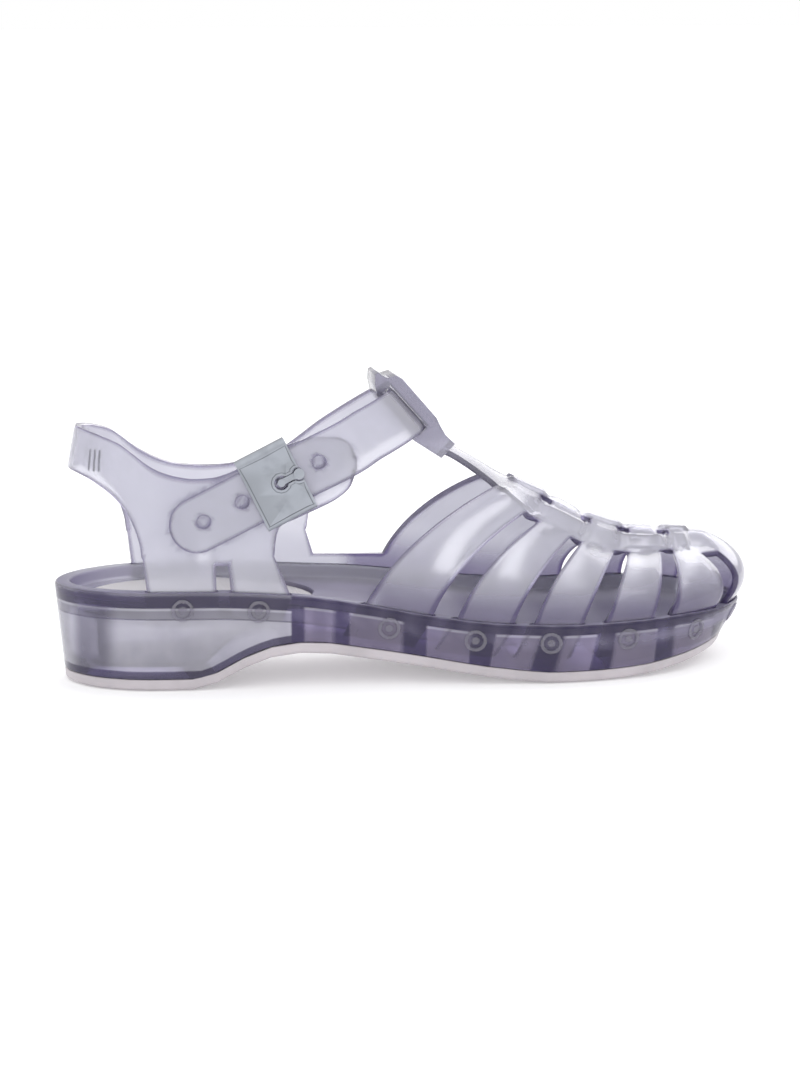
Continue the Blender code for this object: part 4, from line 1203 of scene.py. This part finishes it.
def cage_sheet():
    sheet = Sheet()
    for strap in STRAPS:
        for side in (-1, 1):
            sheet.patch(STRAP_ACROSS, TAB_CELLS + ARCH_CELLS, strap_place(strap, side))
    for number, strap in enumerate(STRAPS):
        sheet.patch(WEAVE_ACROSS, STRAP_ACROSS, weave_place(number, strap))
    for number, (strap, following) in enumerate(zip(STRAPS, STRAPS[1:])):
        sheet.patch(WEAVE_ACROSS, GAP_ROWS, gap_place(number, strap, following), in_weave_hole)
    toe = STRAPS[-1]

    def bridge(u, v):
        return crown_point(mix(toe.top_front, TOE_CAP.top_rear, v), 2 * u - 1), 0.0

    sheet.patch(WEAVE_ACROSS, GAP_ROWS, bridge)
    sheet.patch(WEAVE_ACROSS, TAB_CELLS + ARCH_CELLS, cap_place)
    for side, edge in ((-1, 0.0), (1, 1.0)):
        strap_side = strap_place(toe, side)

        def corner(u, v, strap_side=strap_side, edge=edge):
            spot = (TAB_CELLS + mix(EYE_FROM, ARCH_CELLS, v)) / (TAB_CELLS + ARCH_CELLS)
            here, there = strap_side(1.0, spot)[0], cap_place(edge, spot)[0]
            if v > 1 - 1e-6:
                return crown_point(mix(toe.top_front, TOE_CAP.top_rear, u), 2 * edge - 1), 0.0
            return here.lerp(there, u), 0.0

        sheet.patch(GAP_ROWS, ARCH_CELLS - EYE_FROM, corner)

    def bar(u, v):
        return crown_point(mix(0.545, STRAPS[0].top_rear, v), 2 * u - 1), 0.0

    sheet.patch(WEAVE_ACROSS, BAR_ROWS, bar)
    for side, rows in ((-1, OUTER_QUARTER), (1, INNER_QUARTER)):
        last = len(rows) - 1
        sheet.patch(CELLS_PER_COLUMN * last, SIDE_CELLS, quarter_place(side, rows, 0, last))
        for foot in OUTER_FEET if side < 0 else INNER_FEET:
            count = CELLS_PER_COLUMN * (foot.last - foot.first)
            sheet.patch(count, TAB_CELLS + WEB_TOP + FOOT_CELLS, foot_place(side, foot, rows))
    sheet.patch(6, SIDE_CELLS, join_place)
    sheet.patch(14, TAB_CELLS + WEB_TOP, web_place)
    sheet.patch(ANKLE_FINE, SIDE_CELLS, ankle_place)
    sheet.patch(END_CELLS, SIDE_CELLS, end_place)
    return sheet.finish()


def cut_edges(bm):
    """Points along the cage's cut edges, through its wall, and round the strap's holes."""
    points = []
    for edge in bm.edges:
        if edge.is_boundary:
            low, high = edge.verts
            for share in (0.0, 0.33, 0.67):
                point = low.co.lerp(high.co, share)
                inwards = low.normal.lerp(high.normal, share) * WALL
                points += [point, point - inwards / 2, point - inwards]
    for k in range(HOLES):
        for i in range(HOLE_POINTS):
            angle = 2 * math.pi * i / HOLE_POINTS
            offset = HOLE_RADIUS * math.sin(angle)
            point = run_point(hole_place(k) + HOLE_RADIUS * math.cos(angle), offset)
            points += [point, point + Vector((0.0, WALL, 0.0))]
    return points


def loop_axes(share):
    middle, up, _ = ankle_station(share)
    out = Vector((up.z, 0.0, -up.x))
    return middle - out * WALL / 2, up, out


def loop_block():
    last = len(ANKLE_STATIONS) - 1
    middle, up, out = loop_axes(LOOP_STATION / last)
    outer, inner = LOOP_MIDDLE - LOOP_WIDTH / 2, LOOP_MIDDLE + LOOP_WIDTH / 2
    sections = []
    for y in (outer, inner):
        section = []
        for corner in LOOP_OUTLINE:
            point = middle - up * corner.down * ANKLE_STRAP_WIDTH + out * corner.out * LOOP_DEPTH
            section.append(Vector((point.x, y, point.z)))
        sections.append(section)
    block = helper("loop_block", loft(bmesh.new(), sections))
    half_width, half_depth = ANKLE_STRAP_WIDTH / 2 + LOOP_PLAY / 2, WALL / 2 + LOOP_PLAY
    sections = []
    count = 2 * LOOP_SECTIONS
    for i in range(count + 1):
        middle, up, out = loop_axes((LOOP_STATION + LOOP_REACH * (2 * i / count - 1)) / last)
        corners = ((-1, -1), (1, -1), (1, 1), (-1, 1))
        wide, deep = up * half_width, out * half_depth
        sections.append([middle + wide * across + deep * away for across, away in corners])
    tunnel = helper("loop_tunnel", loft(bmesh.new(), sections))
    combine(block, tunnel)
    rounded = block.modifiers.new("Rounded", "BEVEL")
    rounded.width, rounded.segments, rounded.angle_limit = LOOP_ROUND, 3, math.radians(35)
    apply_modifiers(block)
    return block


def hole_place(number):
    """How far along the strap's run a hole lies."""
    return EYE_PLACE + (number - BUCKLE_HOLE) * HOLE_SPACING


def hole_bar(place):
    """A bar that cuts a hole through the strap, and stops short of the quarter behind it."""
    inwards = WALL + STRAP_SEAT / 2
    radius, length = HOLE_RADIUS, WALL + inwards
    bm = bmesh.new()
    bmesh.ops.create_cone(
        bm, cap_ends=True, segments=HOLE_BAR_SIDES, radius1=radius, radius2=radius, depth=length
    )
    bmesh.ops.rotate(bm, verts=bm.verts, matrix=Matrix.Rotation(math.pi / 2, 3, "X"))
    middle = run_point(place, 0.0) + Vector((0.0, (inwards - WALL) / 2, 0.0))
    bmesh.ops.translate(bm, verts=bm.verts, vec=middle)
    return bm


def round_over(piece, width, segments=2, angle=40):
    bevel = piece.modifiers.new("Rounded edges", "BEVEL")
    bevel.width = width
    bevel.segments = segments
    bevel.limit_method = "ANGLE"
    bevel.angle_limit = math.radians(angle)
    bevel.harden_normals = False
    return bevel


def shade_smooth(mesh, angle):
    for face in mesh.polygons:
        face.use_smooth = True
    mesh.set_sharp_from_angle(angle=math.radians(angle))


def copy_of_node(node):
    """A merged copy of a frame node's mesh, to give it rounded edges."""
    bm = bmesh.new()
    bm.from_mesh(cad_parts[node].data)
    bmesh.ops.remove_doubles(bm, verts=bm.verts, dist=1e-6)
    bmesh.ops.dissolve_limit(bm, angle_limit=math.radians(0.5), verts=bm.verts, edges=bm.edges)
    return bm


# What a user can set


Size = namedtuple("Size", "key name description default")
SIZES = (
    Size("weave_raise", "Weave raise", "How far a strip stands over what it crosses", 0.0012),
    Size("strap_pillow", "Strap swell", "How far a strap's middle swells", 0.0005),
    Size("edge_round", "Edge rounding", "Rounding of the straps' edges", 0.00045),
    Size("stud_radius", "Stud radius", "Radius of the studs in the sole's side", 0.0039),
    Size("floor_size", "Floor size", "Half width of the studio floor", 8.0),
)
Tint = namedtuple("Tint", "key name description default")
TINTS = (
    Tint("strap_face", "Strap face", "Colour of thin clear plastic", (0.80, 0.80, 0.865)),
    Tint("strap_edge", "Strap edge", "Colour seen edge on", (0.18, 0.145, 0.30)),
    Tint("sole_face", "Hollows", "Colour of the hollows in the sole's side", (0.30, 0.26, 0.38)),
    Tint("sole_edge", "Sole edge", "Colour of the sole seen edge on", (0.12, 0.105, 0.20)),
    Tint("sole_heel", "Sole at the heel", "Colour round the hollow heel", (0.80, 0.79, 0.88)),
    Tint("sole_band", "Rim band", "Colour of the solid band under the rim", (0.045, 0.032, 0.10)),
    Tint("sole_pillar", "Pillars", "Colour of the solid pillars of the sole", (0.055, 0.040, 0.12)),
    Tint("footbed", "Footbed", "Colour of the footbed under the straps", (0.46, 0.43, 0.60)),
    Tint("stud", "Studs", "Colour of the studs", (0.66, 0.63, 0.76)),
    Tint("depth", "Depth", "Colour of light through thick plastic", (0.42, 0.38, 0.62)),
    Tint("outsole", "Outsole", "Colour of the outsole", (0.54, 0.50, 0.53)),
    Tint("pad", "Heel pad", "Colour of the heel pad", (0.66, 0.64, 0.66)),
    Tint("metal", "Metal", "Colour of the buckle", (0.35, 0.37, 0.41)),
)


class SandalSizes(bpy.types.PropertyGroup):
    """The sizes of the scene's own forms"""

    __annotations__ = {
        size.key: bpy.props.FloatProperty(
            name=size.name, description=size.description, default=size.default, unit="LENGTH"
        )
        for size in SIZES
    }


class SandalColours(bpy.types.PropertyGroup):
    """The colours of the plastics, the pad and the metal"""

    __annotations__ = {
        tint.key: bpy.props.FloatVectorProperty(
            name=tint.name, description=tint.description, default=tint.default, subtype="COLOR"
        )
        for tint in TINTS
    }


def settings():
    return bpy.context.scene.sandal_sizes


def colours():
    return bpy.context.scene.sandal_colours


# One operator for each piece or group of pieces


def near_rim(point):
    """How much painted shade a point of the cross straps takes for lying near the rim under it."""
    over = -below_rim(point)
    if over < -GAP_AT_RIM:
        return 0.0
    return (1 - ease(over / 0.017)) * ease((clamp(share_at(point.x)) - 0.41) / 0.04)


def thick_part():
    """How much a point lies in the loop or the bar under it."""
    loop, _, _ = loop_axes(LOOP_STATION / (len(ANKLE_STATIONS) - 1))
    bar = point_tree([
        crown_point(mix(0.545, STRAPS[0].top_rear, i / 24), k / 4) for i in range(25) for k in range(-4, 5)
    ])

    def share(point):
        away = math.hypot(point.x - loop.x, point.z - loop.z)
        beside = abs(point.y - LOOP_MIDDLE) - LOOP_WIDTH / 2
        in_loop = (1 - ease((away - 0.020) / 0.004)) * (1 - ease(beside / 0.0006))
        return max(in_loop, 1 - ease((bar.find(point)[2] - 0.0024) / 0.001))

    return share


class SANDAL_OT_cage(bpy.types.Operator):
    """Lays the strap cage over the last, with its weave, quarter, ankle strap and loop"""

    bl_idname = "sandal.cage"
    bl_label = "Strap cage"

    def execute(self, context):
        tint = colours()
        depth = (tint.depth, STRAP_DENSITY)
        plastic = clear_plastic(
            "strap_plastic", tint.strap_face, tint.strap_edge, STRAP_CLEARNESS, STRAP_ROUGHNESS, depth, 0.25
        )
        sheet = cage_sheet()
        block = loop_block()
        edges = point_tree(cut_edges(sheet))
        cage = add_piece("strap_cage", sheet, plastic, ("upper",), 45.0)
        wall = cage.modifiers.new("Wall", "SOLIDIFY")
        wall.thickness = WALL
        wall.offset = -1.0
        round_over(cage, settings().edge_round)
        combine(cage, block, "UNION")
        for k in range(HOLES):
            combine(cage, helper(f"strap_hole_{k + 1}", hole_bar(hole_place(k))))
        apply_modifiers(cage)
        paint_points(cage.data, "edge", lambda point: 1 - ease((edges.find(point)[2] - 0.0002) / 0.0009))
        # Painted shade on the cross straps, strongest at the rim
        paint_points(cage.data, "near_rim", near_rim)
        paint_points(cage.data, "thick", thick_part())
        shade_smooth(cage.data, 42.0)
        return {"FINISHED"}


SoleRow = namedtuple("SoleRow", "from_rim lift inset centre")


def arc_rows(from_rim, lift, inset, radius, first, last, steps=4):
    """Rows round a quarter turn about a middle at this lift and inset."""
    angles = [math.radians(mix(first, last, i / steps)) for i in range(steps + 1)]
    return [SoleRow(from_rim, lift + radius * math.sin(a), inset - radius * math.cos(a), 0.0) for a in angles]


def sole_rows():
    """The sole's section: up its side, over the rim, down to the footbed and in to the long middle line."""
    lip, low = RIM_LIP_WIDTH, SOLE_FILLET
    rows = [SoleRow(False, 0.0, RIM_ROUND, centre) for centre in (1.0, 0.6, 0.2)]
    rows += arc_rows(False, RIM_ROUND, RIM_ROUND, RIM_ROUND, -90, 0, 2)
    rows += [SoleRow(share, 0.0, 0.0, 0.0) for share in (0.2, 0.4, 0.6, 0.8)]
    rows += arc_rows(True, -SOLE_EDGE, SOLE_EDGE, SOLE_EDGE, 0, 90)
    rows += arc_rows(True, -low, lip - low, low, 90, 180)
    rows += arc_rows(True, low - FOOTBED_DROP, lip + low, low, 0, -90)
    return rows + [SoleRow(True, -FOOTBED_DROP, lip + low, centre) for centre in (0.1, 0.3, 0.5, 0.75, 1.0)]


def sole_point(turn, row):
    def edge(turn):
        base = base_height(along_of(turn)) + OUTSOLE_THICKNESS + GAP
        return wall_point(turn, mix(base, rim_height(turn), row.from_rim) + row.lift, row.inset)

    here = edge(turn)
    return here.lerp((here + edge(-turn)) / 2, row.centre) if row.centre else here


def sole_mesh():
    rows = sole_rows()
    bm = bmesh.new()
    made = bmesh.ops.create_grid(bm, x_segments=SOLE_AROUND, y_segments=len(rows) - 1, size=0.5)
    for vert in made["verts"]:
        turn = math.pi * 2 * vert.co.x
        vert.co = sole_point(turn, rows[round((vert.co.y + 0.5) * (len(rows) - 1))])
    bmesh.ops.remove_doubles(bm, verts=bm.verts, dist=2e-5)
    bmesh.ops.dissolve_degenerate(bm, dist=1e-6, edges=bm.edges)
    bmesh.ops.recalc_face_normals(bm, faces=bm.faces)
    return bm


def heel_hollow():
    """The hollow heel: rounded at the back, and running out to a low wedge over the arch."""
    sections = []
    for i in range(HOLLOW_SECTIONS + 1):
        share = (1 - math.cos(math.pi * i / HOLLOW_SECTIONS)) / 2
        along = mix(HOLLOW_REAR, HOLLOW_FRONT, share)
        low = base_height(along) + OUTSOLE_THICKNESS + CAVITY_FLOOR
        high = footbed_height(turn_of(along, -1)) - FOOTBED_SLAB
        low = mix(low, high - HOLLOW_LEAST_HEIGHT, ease((share - 0.60) / 0.40))
        near_end = clamp(share / 0.05)
        spread = mix(0.45, 1.0, math.sqrt(1 - (1 - near_end) ** 2))
        section = []
        for k in range(HOLLOW_SIDES):
            angle = 2 * math.pi * k / HOLLOW_SIDES
            parts = (math.cos(angle), math.sin(angle))
            across, up = (math.copysign(abs(part) ** HOLLOW_SQUARENESS, part) for part in parts)
            height = mix(low, high, (up * mix(0.8, 1.0, spread) + 1) / 2)
            outer, inner = (wall_point(turn_of(along, side), height, CAVITY_WALL) for side in (-1, 1))
            section.append(outer.lerp(inner, (across * spread + 1) / 2))
        sections.append(section)
    return helper("heel_hollow", loft(bmesh.new(), sections))


def socket(number, lines):
    """The slot in the sole that a foot of the straps fills."""
    grow = SOCKET_CLEARANCE
    sections = []
    for line in zip(widened([line[0] for line in lines]), widened([line[1] for line in lines])):
        slope = read(RIMS, "taper", along_of(line[0]))
        outer, inner = RIM_EDGE - grow, RIM_EDGE + WALL * math.hypot(1.0, slope) + grow
        low = [foot_point(line, 1.0, inset, grow) for inset in (outer, inner)]
        rim = [foot_point(line, 0.0, inset) for inset in (inner, outer)]
        sections.append([*low, rim[0], *(point + Vector((0.0, 0.0, FOOTBED_DROP)) for point in rim), rim[1]])
    return helper(f"socket_{number}", loft(bmesh.new(), sections))


def socket_lines():
    """The lines of each foot: the quarter's feet, the web, the cross straps and the toe cap."""
    groups = [[foot_line(1, INNER_FEET[-1], 1.0), foot_line_of(STRAPS[0], 1, 0.0)]]
    for side, feet in ((-1, OUTER_FEET), (1, INNER_FEET)):
        groups += [[foot_line(side, foot, i / 4) for i in range(5)] for foot in feet]
        groups += [[foot_line_of(strap, side, i / 4) for i in range(5)] for strap in STRAPS]
    groups[0] = [(mix(a, c, i / 4), mix(b, d, i / 4)) for (a, b), (c, d) in [groups[0]] for i in range(5)]
    return groups + [[(cap_turn(i / 20), cap_turn(i / 20)) for i in range(21)]]


def foot_line_of(strap, side, share):
    rear, front = strap_edges(strap, side)
    turn = turn_of(mix(rear, front, share), side)
    return turn, tab_turn(turn, strap.lean)


def below_rim(point):
    """How far a point lies under the rim beside it."""
    return rim_height(turn_of(clamp(share_at(point.x)), -1 if point.y < 0 else 1)) - point.z


def above_base(point):
    """How far a point lies over the outsole's top."""
    return point.z - base_height(clamp(share_at(point.x))) - OUTSOLE_THICKNESS


def on_footbed(point, rim):
    """1 on the footbed, nearly 1 on the rim's top, and 0 on the sole's side."""
    if below_rim(point) > FOOTBED_DROP + PAD_THICKNESS + GAP:
        return 0.0
    inside = rim.find(Vector((point.x, point.y, 0.0)))[2]
    return 1.0 if inside > RIM_LIP_WIDTH * 0.9 else 0.9 * ease((inside - 0.0004) / 0.0008)


def slanted(point, part=1.0):
    """The share of the length at the rim that a line through the point reaches, slanting as the tabs do."""
    along = clamp(share_at(point.x))
    leans = [(sum(strap_edges(strap, -1)) / 2, strap.lean) for strap in STRAPS]
    lean = 0.0
    for (rear, low), (front, high) in zip([(UPRIGHT_UP_TO, 0.0), *leans], [*leans, (1.0, 0.0)]):
        if rear <= along <= front:
            lean = mix(low, high, (along - rear) / (front - rear))
    return along + part * lean * max(0.0, below_rim(point)) / SOLE_LENGTH


def cell_along(point):
    """The same for the hollows, which stand upright at the waist and slant half as much ahead of it."""
    return slanted(point, 0.5 * ease((point.x - 0.005) / 0.03))


class SANDAL_OT_sole(bpy.types.Operator):
    """Makes the sole, the outsole and the heel pad, and gives them their materials"""

    bl_idname = "sandal.sole"
    bl_label = "Sole and pad"

    def execute(self, context):
        tint = colours()
        sole = add_piece("sole_moulding", sole_mesh(), sole_plastic(tint), ("sole",), 32.0)
        rings = (pad_ring(GAP, -PAD_THICKNESS), pad_ring(GAP, FOOTBED_DROP))
        seat = helper("pad_seat", loft(bmesh.new(), rings))
        cutters = [heel_hollow(), seat, *(socket(k, lines) for k, lines in enumerate(socket_lines()))]
        for cutter in cutters:
            combine(sole, cutter)
        apply_modifiers(sole)
        rim = point_tree([outline(math.pi * i / RIM_POINTS).to_3d() for i in range(-RIM_POINTS, RIM_POINTS)])
        paint_points(sole.data, "below_rim", below_rim)
        paint_points(sole.data, "above_base", above_base)
        paint_points(sole.data, "slanted", slanted)
        paint_points(sole.data, "cell_along", cell_along)
        paint_points(sole.data, "inner_side", lambda point: float(point.y > 0))
        paint_points(sole.data, "footbed", lambda point: on_footbed(point, rim))
        # Painted light on the far half of the footbed
        paint_points(sole.data, "far_bed", lambda point: ease((point.y - 0.002) / 0.022))
        shade_smooth(sole.data, 32.0)
        outsole = outsole_plastic(tint.outsole, [channel * 0.85 for channel in tint.outsole])
        layer = copy_of_node("outsole")
        for vert in layer.verts:
            if above_base(vert.co) > -OUTSOLE_THICKNESS * 0.2:
                vert.co.z += GAP * 0.85
        round_over(add_piece("outsole_layer", layer, outsole, ("outsole",), 32.0), 0.0004)
        cover = pad_fabric(tint.pad, [channel * 0.86 for channel in tint.pad])
        pad = add_piece("pad_cover", copy_of_node("heel_pad"), cover, ("heel_pad",), 40.0)
        round_over(pad, 0.0003)
        return {"FINISHED"}


# A stud's profile from its edge inwards: how far each ring is drawn in, as a length and as a share of the
# stud's radius, and how far it then rises
StudRing = namedtuple("StudRing", "inset share rise")
STUD_RINGS = (
    StudRing(0.00025, 0.00, 0.0002),
    StudRing(0.0, 0.22, 0.0),
    StudRing(0.0003, 0.00, -0.0006),
    StudRing(0.0, 0.25, 0.0),
    StudRing(0.0002, 0.00, 0.0004),
)
STUD_SIDES = 64
STUD_HEIGHT = 0.0008
STUD_SINK = 0.0005


def stud_mesh(bm, seat, out, radius):
    """A low round stud with a dished middle, seated on the sole's side."""
    made = bmesh.ops.create_circle(bm, cap_ends=True, segments=STUD_SIDES, radius=radius)
    verts = set(made["verts"])
    top = bmesh.ops.extrude_discrete_faces(bm, faces=[made["verts"][0].link_faces[0]])["faces"][0]
    bmesh.ops.translate(bm, verts=top.verts, vec=(0, 0, STUD_HEIGHT))
    verts.update(top.verts)
    for ring in STUD_RINGS:
        bmesh.ops.inset_individual(bm, faces=[top], thickness=ring.inset + ring.share * radius)
        bmesh.ops.translate(bm, verts=top.verts, vec=(0, 0, ring.rise))
        verts.update(top.verts)
    turn = Vector((0, 0, 1)).rotation_difference(out).to_matrix()
    moved = [vert for vert in verts if vert.is_valid]
    bmesh.ops.rotate(bm, verts=moved, matrix=turn)
    bmesh.ops.translate(bm, verts=moved, vec=seat)


def stud_seats():
    """Where each strap's foot is pinned: the middle of its tab, on the sole's side."""
    lines = []
    for side, feet in ((-1, OUTER_FEET), (1, INNER_FEET)):
        lines += [foot_line(side, foot, 0.5) for foot in feet]
        for strap in STRAPS:
            turn = turn_of(sum(strap_edges(strap, side)) / 2, side)
            lines.append((turn, tab_turn(turn, strap.lean)))
    lines += [(cap_turn(u), cap_turn(u)) for u in (0.16, 0.84)]
    seats = []
    for rim, foot in lines:
        turn = mix(rim, foot, 0.5)
        height = rim_height(rim) - tab_depth(rim) * 0.52
        ahead = heading(turn)
        slope = read(RIMS, "taper", along_of(turn))
        out = Vector((-ahead.y, ahead.x, -slope)).normalized()
        seats.append((wall_point(turn, height, 0.0), out))
    return seats


class SANDAL_OT_studs(bpy.types.Operator):
    """Sets the round studs into the sole's side at the feet of the straps"""

    bl_idname = "sandal.studs"
    bl_label = "Studs"

    def execute(self, context):
        tint = colours()
        depth = (tint.depth, STUD_DENSITY)
        plastic = clear_plastic(
            "stud_plastic", tint.stud, tint.sole_edge, STUD_CLEARNESS, STUD_ROUGHNESS, depth, 0.15
        )
        bm = bmesh.new()
        for seat, out in stud_seats():
            stud_mesh(bm, seat - out * STUD_SINK, out, settings().stud_radius)
        bmesh.ops.recalc_face_normals(bm, faces=bm.faces)
        add_piece("strap_studs", bm, plastic, (), 30.0)
        return {"FINISHED"}


class SANDAL_OT_ribs(bpy.types.Operator):
    """Raises three short ribs on each side of the heel strap"""

    bl_idname = "sandal.ribs"
    bl_label = "Heel ribs"

    def execute(self, context):
        tint = colours()
        face = [channel * 0.62 for channel in tint.strap_face]
        depth = (tint.depth, STRAP_DENSITY)
        plastic = clear_plastic(
            "rib_plastic", face, tint.strap_edge, RIB_CLEARNESS, RIB_ROUGHNESS, depth, 0.10
        )
        bm = bmesh.new()
        for side in (-1, 1):
            for along in RIB_PLACES:
                low, high = (quarter_point(side, along, share * HEEL_STRAP_TOP) for share in RIB_ENDS)
                made = bmesh.ops.create_uvsphere(bm, u_segments=14, v_segments=8, radius=RIB_RADIUS)["verts"]
                half = (high - low).length / 2 - RIB_RADIUS
                for vert in made:
                    vert.co.z += math.copysign(half, vert.co.z) if abs(vert.co.z) > 1e-6 else 0.0
                turn = Vector((0, 0, 1)).rotation_difference(high - low).to_matrix()
                bmesh.ops.rotate(bm, verts=made, matrix=turn)
                bmesh.ops.translate(bm, verts=made, vec=(low + high) / 2)
        add_piece("heel_ribs", bm, plastic, (), 60.0)
        return {"FINISHED"}


def face_line(bm):
    """The middle of the plate's thickness."""
    return sum(vert.co.y for vert in bm.verts) / len(bm.verts)


class SANDAL_OT_buckle(bpy.types.Operator):
    """Rounds and finishes the metal plate and its prong"""

    bl_idname = "sandal.buckle"
    bl_label = "Buckle"

    def execute(self, context):
        tint = colours()
        bm = copy_of_node("buckle")
        bm.normal_update()
        # Painted shade: the plate's edge faces, turned away from front and back, are partly darkened
        dark = bm.faces.layers.float.new("groove")
        for face in bm.faces:
            face[dark] = float(abs(face.normal.y) < 0.5) * 0.6
        middle = face_line(bm)
        front = [face for face in bm.faces if face.normal.y < -0.9 and face.calc_center_median().y < middle]
        # The border's slope stays unshaded; the narrow groove inside it takes full painted shade
        for width, depth, shade in ((0.0008, 0.0, 0.0), (0.0003, -0.0002, 1.0)):
            ring = bmesh.ops.inset_region(
                bm, faces=front, thickness=width, depth=depth, use_boundary=True, use_even_offset=False
            )
            for face in ring["faces"]:
                face[dark] = shade
        metal = satin_metal("plate_metal", tint.metal, 0.28)
        round_over(add_piece("buckle_plate", bm, metal, ("buckle",)), 0.00018)
        metal = satin_metal("prong_metal", tint.metal, 0.22)
        round_over(add_piece("buckle_prong", copy_of_node("prong"), metal, ("prong",)), 0.0003)
        return {"FINISHED"}


Light = namedtuple("Light", "name place size power")
LIGHTS = (
    Light("key_light", (-0.9, -1.3, 1.3), (1.6, 1.6), 4.0),
    Light("top_light", (0.2, 0.2, 1.6), (1.2, 0.8), 4.0),
    Light("back_light", (0.8, 1.4, 0.9), (1.4, 1.0), 9.0),
)
LIGHTS_AIM = Vector((0.0, 0.0, 0.04))
CAMERA_AZIMUTH = math.radians(-11.0)
CAMERA_ELEVATION = math.radians(11.0)
CAMERA_DISTANCE = 1.1
CAMERA_LENS = 103.0
CAMERA_TARGET = Vector((-0.00225, 0.0, 0.0478))
FLOOR_DROP = 0.0002


def turn_towards(way):
    return way.to_track_quat("-Z", "Y").to_euler()


def add_light(light):
    data = bpy.data.lights.new(light.name, "AREA")
    data.shape = "RECTANGLE"
    data.size, data.size_y = light.size
    data.energy = light.power
    lamp = bpy.data.objects.new(light.name, data)
    lamp.location = light.place
    lamp.rotation_euler = turn_towards(LIGHTS_AIM - Vector(light.place))
    bpy.context.scene.collection.objects.link(lamp)


class SANDAL_OT_studio(bpy.types.Operator):
    """Sets the pale floor, the soft lights and the camera"""

    bl_idname = "sandal.studio"
    bl_label = "Studio"

    def execute(self, context):
        scene = context.scene
        bm = bmesh.new()
        bmesh.ops.create_grid(bm, x_segments=1, y_segments=1, size=settings().floor_size)
        mesh = bpy.data.meshes.new("floor")
        bm.to_mesh(mesh)
        bm.free()
        floor = bpy.data.objects.new("floor", mesh)
        floor.location.z = -FLOOR_DROP
        scene.collection.objects.link(floor)
        shader = Shader("floor_paper")
        paper = shader.node("ShaderNodeBsdfPrincipled", None, Roughness=0.9)
        paper.inputs["Base Color"].default_value = (0.90, 0.90, 0.91, 1.0)
        paper.inputs["Emission Color"].default_value = (1.0, 1.0, 1.0, 1.0)
        paper.inputs["Emission Strength"].default_value = 0.22
        mesh.materials.append(shader.finish(paper))

        world = bpy.data.worlds.new("studio_air")
        world.use_nodes = True
        sky = world.node_tree.nodes["Background"]
        sky.inputs["Color"].default_value = (1.0, 1.0, 1.0, 1.0)
        sky.inputs["Strength"].default_value = 1.0
        scene.world = world
        for light in LIGHTS:
            add_light(light)

        level = math.cos(CAMERA_ELEVATION)
        towards = Vector(
            (math.sin(CAMERA_AZIMUTH) * level, -math.cos(CAMERA_AZIMUTH) * level, math.sin(CAMERA_ELEVATION))
        )
        data = bpy.data.cameras.new("camera")
        data.lens = CAMERA_LENS
        data.sensor_width = 36.0
        camera = bpy.data.objects.new("camera", data)
        camera.location = CAMERA_TARGET + towards * CAMERA_DISTANCE
        camera.rotation_euler = turn_towards(-towards)
        scene.collection.objects.link(camera)
        scene.camera = camera
        scene.view_settings.view_transform = "Standard"
        scene.view_settings.look = "None"
        return {"FINISHED"}


class SANDAL_PT_panel(bpy.types.Panel):
    """The sandal's sizes, colours and pieces"""

    bl_label = "Jelly sandal"
    bl_idname = "SANDAL_PT_panel"
    bl_space_type = "VIEW_3D"
    bl_region_type = "UI"
    bl_category = "Sandal"

    def draw(self, context):
        for group in (context.scene.sandal_sizes, context.scene.sandal_colours):
            for name in group.__annotations__:
                self.layout.prop(group, name)
        for operator in OPERATORS:
            self.layout.operator(operator.bl_idname)


OPERATORS = (
    SANDAL_OT_cage,
    SANDAL_OT_ribs,
    SANDAL_OT_sole,
    SANDAL_OT_studs,
    SANDAL_OT_buckle,
    SANDAL_OT_studio,
)
CLASSES = (SandalSizes, SandalColours, *OPERATORS, SANDAL_PT_panel)


def register():
    for item in CLASSES:
        bpy.utils.register_class(item)
    bpy.types.Scene.sandal_sizes = bpy.props.PointerProperty(type=SandalSizes)
    bpy.types.Scene.sandal_colours = bpy.props.PointerProperty(type=SandalColours)


def unregister():
    del bpy.types.Scene.sandal_sizes
    del bpy.types.Scene.sandal_colours
    for item in reversed(CLASSES):
        bpy.utils.unregister_class(item)


def main():
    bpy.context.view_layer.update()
    register()
    bpy.ops.sandal.cage()
    bpy.ops.sandal.ribs()
    bpy.ops.sandal.sole()
    bpy.ops.sandal.studs()
    bpy.ops.sandal.buckle()
    bpy.ops.sandal.studio()


if __name__ == "__main__":
    main()
